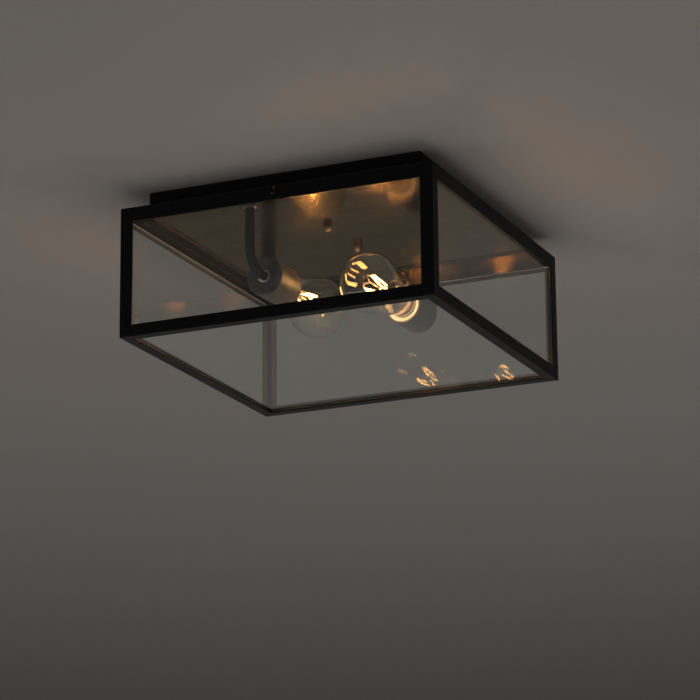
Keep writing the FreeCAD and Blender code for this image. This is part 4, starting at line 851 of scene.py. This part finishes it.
class LANTERN_OT_fasteners(bpy.types.Operator):
    """Turns the domed cap nuts under the tray and the two side screws"""
    bl_idname = "lantern.fasteners"
    bl_label = "Fasteners"

    def execute(self, context):
        radius, collar, dome_r = 4 * MM, 4.8 * MM, 4 * MM
        hexagon = [(0, radius * 0.93), (-0.35 * MM, radius), (-collar + 0.5 * MM, radius), (-collar, radius * 0.9)]
        dome = [(-collar - dome_r * math.sin(a), dome_r * 0.94 * math.cos(a))
                for a in np.radians(np.linspace(8, 90, 12))]
        profile = [(0, 0), *hexagon, *dome]
        hexed = [0, 0.4, 1, 1, 0.5, *[0] * len(dome)]
        shapes = [moved(turned(profile, sides=72, hexed=hexed), Matrix.Translation((0, sign * STUD_Y, TRAY_Z)))
                  for sign in (-1, 1)]
        piece("domed_cap_nuts", shapes, FINISHES["nut_brass"], "ceiling_unit", ["cap_nuts"])
        key, depth, screw_r, head_r, head_h = 1.25 * MM, 1.3 * MM, 2.0 * MM, 3.5 * MM, 2.2 * MM
        head = [(0, screw_r), (0, head_r - 0.2 * MM), (0.2 * MM, head_r), (0.4 * MM, head_r)]
        crown = [(0.4 * MM + 1.6 * MM * math.sin(a), 1.9 * MM + 1.6 * MM * math.cos(a))
                 for a in np.radians(np.linspace(10, 75, 7))]
        mouth = [(head_h, 1.9 * MM), (head_h, 1.6 * MM), (2.05 * MM, key), (head_h - depth, key),
                 (head_h - depth - 0.4 * MM, 0)]
        shank = [(-9.5 * MM, 0), (-9.5 * MM, screw_r - 0.5 * MM), (-9.0 * MM, screw_r),
                 *[(height, screw_r) for height in np.linspace(-8.9, -0.05, 90) * MM]]
        profile = [*shank, *head, *crown, *mouth]
        hexed = [0] * (len(shank) + len(head) + len(crown)) + [0, 0.3, 1, 1, 0]
        wave = (0.7 * MM, 0.28 * MM, -9.2 * MM, -1.0 * MM)
        for name, turn in (("front", math.pi / 2), ("back", -math.pi / 2)):
            way = -1 if name == "front" else 1
            place = Matrix.Translation((0, way * SCREW_SEAT, SCREW_Z)) @ Matrix.Rotation(turn, 4, "X")
            piece(f"button_screw_{name}", [moved(turned(profile, sides=72, hexed=hexed, thread=wave), place)],
                  FINISHES["screw"], f"side_screw_{name}", [f"side_screw_{name}"])
        return {"FINISHED"}


def soft_lamp(name, place, aim, size, power, colour=(1, 1, 1)):
    """A square soft light that looks at a point."""
    light = bpy.data.lights.new(name, "AREA")
    light.size, light.energy, light.color = size, power, colour
    obj = bpy.data.objects.new(name, light)
    obj.location = place
    obj.rotation_euler = (Vector(aim) - Vector(place)).to_track_quat("-Z", "Y").to_euler()
    obj.visible_camera = obj.visible_transmission = False
    bpy.context.scene.collection.objects.link(obj)


def level_sheet(name, height, half, finish, facing):
    """A wide level square that looks up (1) or down (-1)."""
    corners = [(-half, -half, height), (half, -half, height), (half, half, height), (-half, half, height)]
    mesh = bpy.data.meshes.new(name)
    mesh.from_pydata(corners, [], [(0, 1, 2, 3) if facing > 0 else (3, 2, 1, 0)])
    mesh.materials.append(finish)
    obj = bpy.data.objects.new(name, mesh)
    bpy.context.scene.collection.objects.link(obj)
    return obj


class LANTERN_OT_stage(bpy.types.Operator):
    """Sets the camera, a plain ceiling, a pale floor far below and soft studio light"""
    bl_idname = "lantern.stage"
    bl_label = "Stage"

    def execute(self, context):
        scene, colours = context.scene, context.scene.lantern_colours
        camera = bpy.data.cameras.new("camera")
        camera.sensor_width, camera.lens = 36, 161.05
        camera.clip_start, camera.clip_end = 0.05, 60
        eye = bpy.data.objects.new("camera", camera)
        place = Vector((1.2901, -2.8968, -1.0661))
        azimuth, elevation, roll = (math.radians(angle) for angle in (23.902, -16.124, -0.535))
        back = Vector((math.sin(azimuth) * math.cos(elevation), -math.cos(azimuth) * math.cos(elevation),
                       math.sin(elevation)))
        right = (-back).cross(Vector((0, 0, 1))).normalized()
        up = right.cross(-back)
        tilted_right = right * math.cos(roll) + up * math.sin(roll)
        tilted_up = up * math.cos(roll) - right * math.sin(roll)
        eye.matrix_world = Matrix((
            (tilted_right.x, tilted_up.x, back.x, place.x),
            (tilted_right.y, tilted_up.y, back.y, place.y),
            (tilted_right.z, tilted_up.z, back.z, place.z),
            (0, 0, 0, 1)))
        scene.collection.objects.link(eye)
        scene.camera = eye
        scene.view_settings.view_transform = "Standard"

        wall = Finish("ceiling_plaster", tuple(colours.ceiling), roughness=0.9)
        wall.grained(60.0, 0.05, 0.2 * MM)
        side, clear, mix = (wall.nodes.new(kind) for kind in
                            ("ShaderNodeNewGeometry", "ShaderNodeBsdfTransparent", "ShaderNodeMixShader"))
        wall.link(side.outputs["Backfacing"], mix.inputs["Fac"])
        wall.link(wall.shader.outputs["BSDF"], mix.inputs[1])
        wall.link(clear.outputs["BSDF"], mix.inputs[2])
        wall.link(mix.outputs["Shader"], wall.output.inputs["Surface"])
        ceiling = level_sheet("plain_ceiling", 0.5 * MM, 9, wall.material, -1)
        ceiling.visible_shadow = False
        ceiling.visible_diffuse = False
        ground = Finish("floor_paint", tuple(colours.floor), roughness=0.9)
        ground.grained(40.0, 0.05, 0.2 * MM)
        level_sheet("pale_floor", -2.4, 9, ground.material, 1)

        world = bpy.data.worlds.new("soft_room")
        scene.world = world
        world.use_nodes = True
        room = world.node_tree.nodes["Background"]
        room.inputs["Color"].default_value = (0.80, 0.78, 0.75, 1)
        room.inputs["Strength"].default_value = 0.24
        soft_lamp("key", (-2.2, -2.4, -1.6), (0, 0, -0.08), 1.6, 58)
        soft_lamp("fill", (2.6, -1.2, -1.4), (0, 0, -0.08), 1.6, 28)
        soft_lamp("under", (0.2, 0.4, -2.3), (0, 0, 0), 2.4, 38)
        soft_lamp("floor_wash", (0, 0, -1.9), (0, 0, -2.4), 4.0, 10)
        soft_lamp("top", (-0.8, 0.6, 1.9), (0, 0, 0), 1.4, 20)
        return {"FINISHED"}


class LANTERN_PT_pieces(bpy.types.Panel):
    """Lists the steps that dress the lantern"""
    bl_idname = "LANTERN_PT_pieces"
    bl_label = "Porch Ceiling Lantern"
    bl_space_type = "VIEW_3D"
    bl_region_type = "UI"
    bl_category = "Lantern"

    def draw(self, context):
        for step in STEPS:
            self.layout.operator(step.bl_idname)
        for group in (context.scene.lantern_sizes, context.scene.lantern_colours):
            for name in group.__annotations__:
                self.layout.prop(group, name)


STEPS = (LANTERN_OT_finishes, LANTERN_OT_frame, LANTERN_OT_panes, LANTERN_OT_ceiling_metal, LANTERN_OT_arms,
         LANTERN_OT_lampholders, LANTERN_OT_bulbs, LANTERN_OT_fasteners, LANTERN_OT_stage)
CLASSES = (LanternSizes, LanternColours, *STEPS, LANTERN_PT_pieces)


def register():
    for kind in CLASSES:
        bpy.utils.register_class(kind)
    bpy.types.Scene.lantern_sizes = PointerProperty(type=LanternSizes)
    bpy.types.Scene.lantern_colours = PointerProperty(type=LanternColours)


def unregister():
    del bpy.types.Scene.lantern_sizes, bpy.types.Scene.lantern_colours
    for kind in reversed(CLASSES):
        bpy.utils.unregister_class(kind)


def main():
    register()
    for step in STEPS:
        area, name = step.bl_idname.split(".")
        getattr(getattr(bpy.ops, area), name)()


if __name__ == "__main__":
    main()
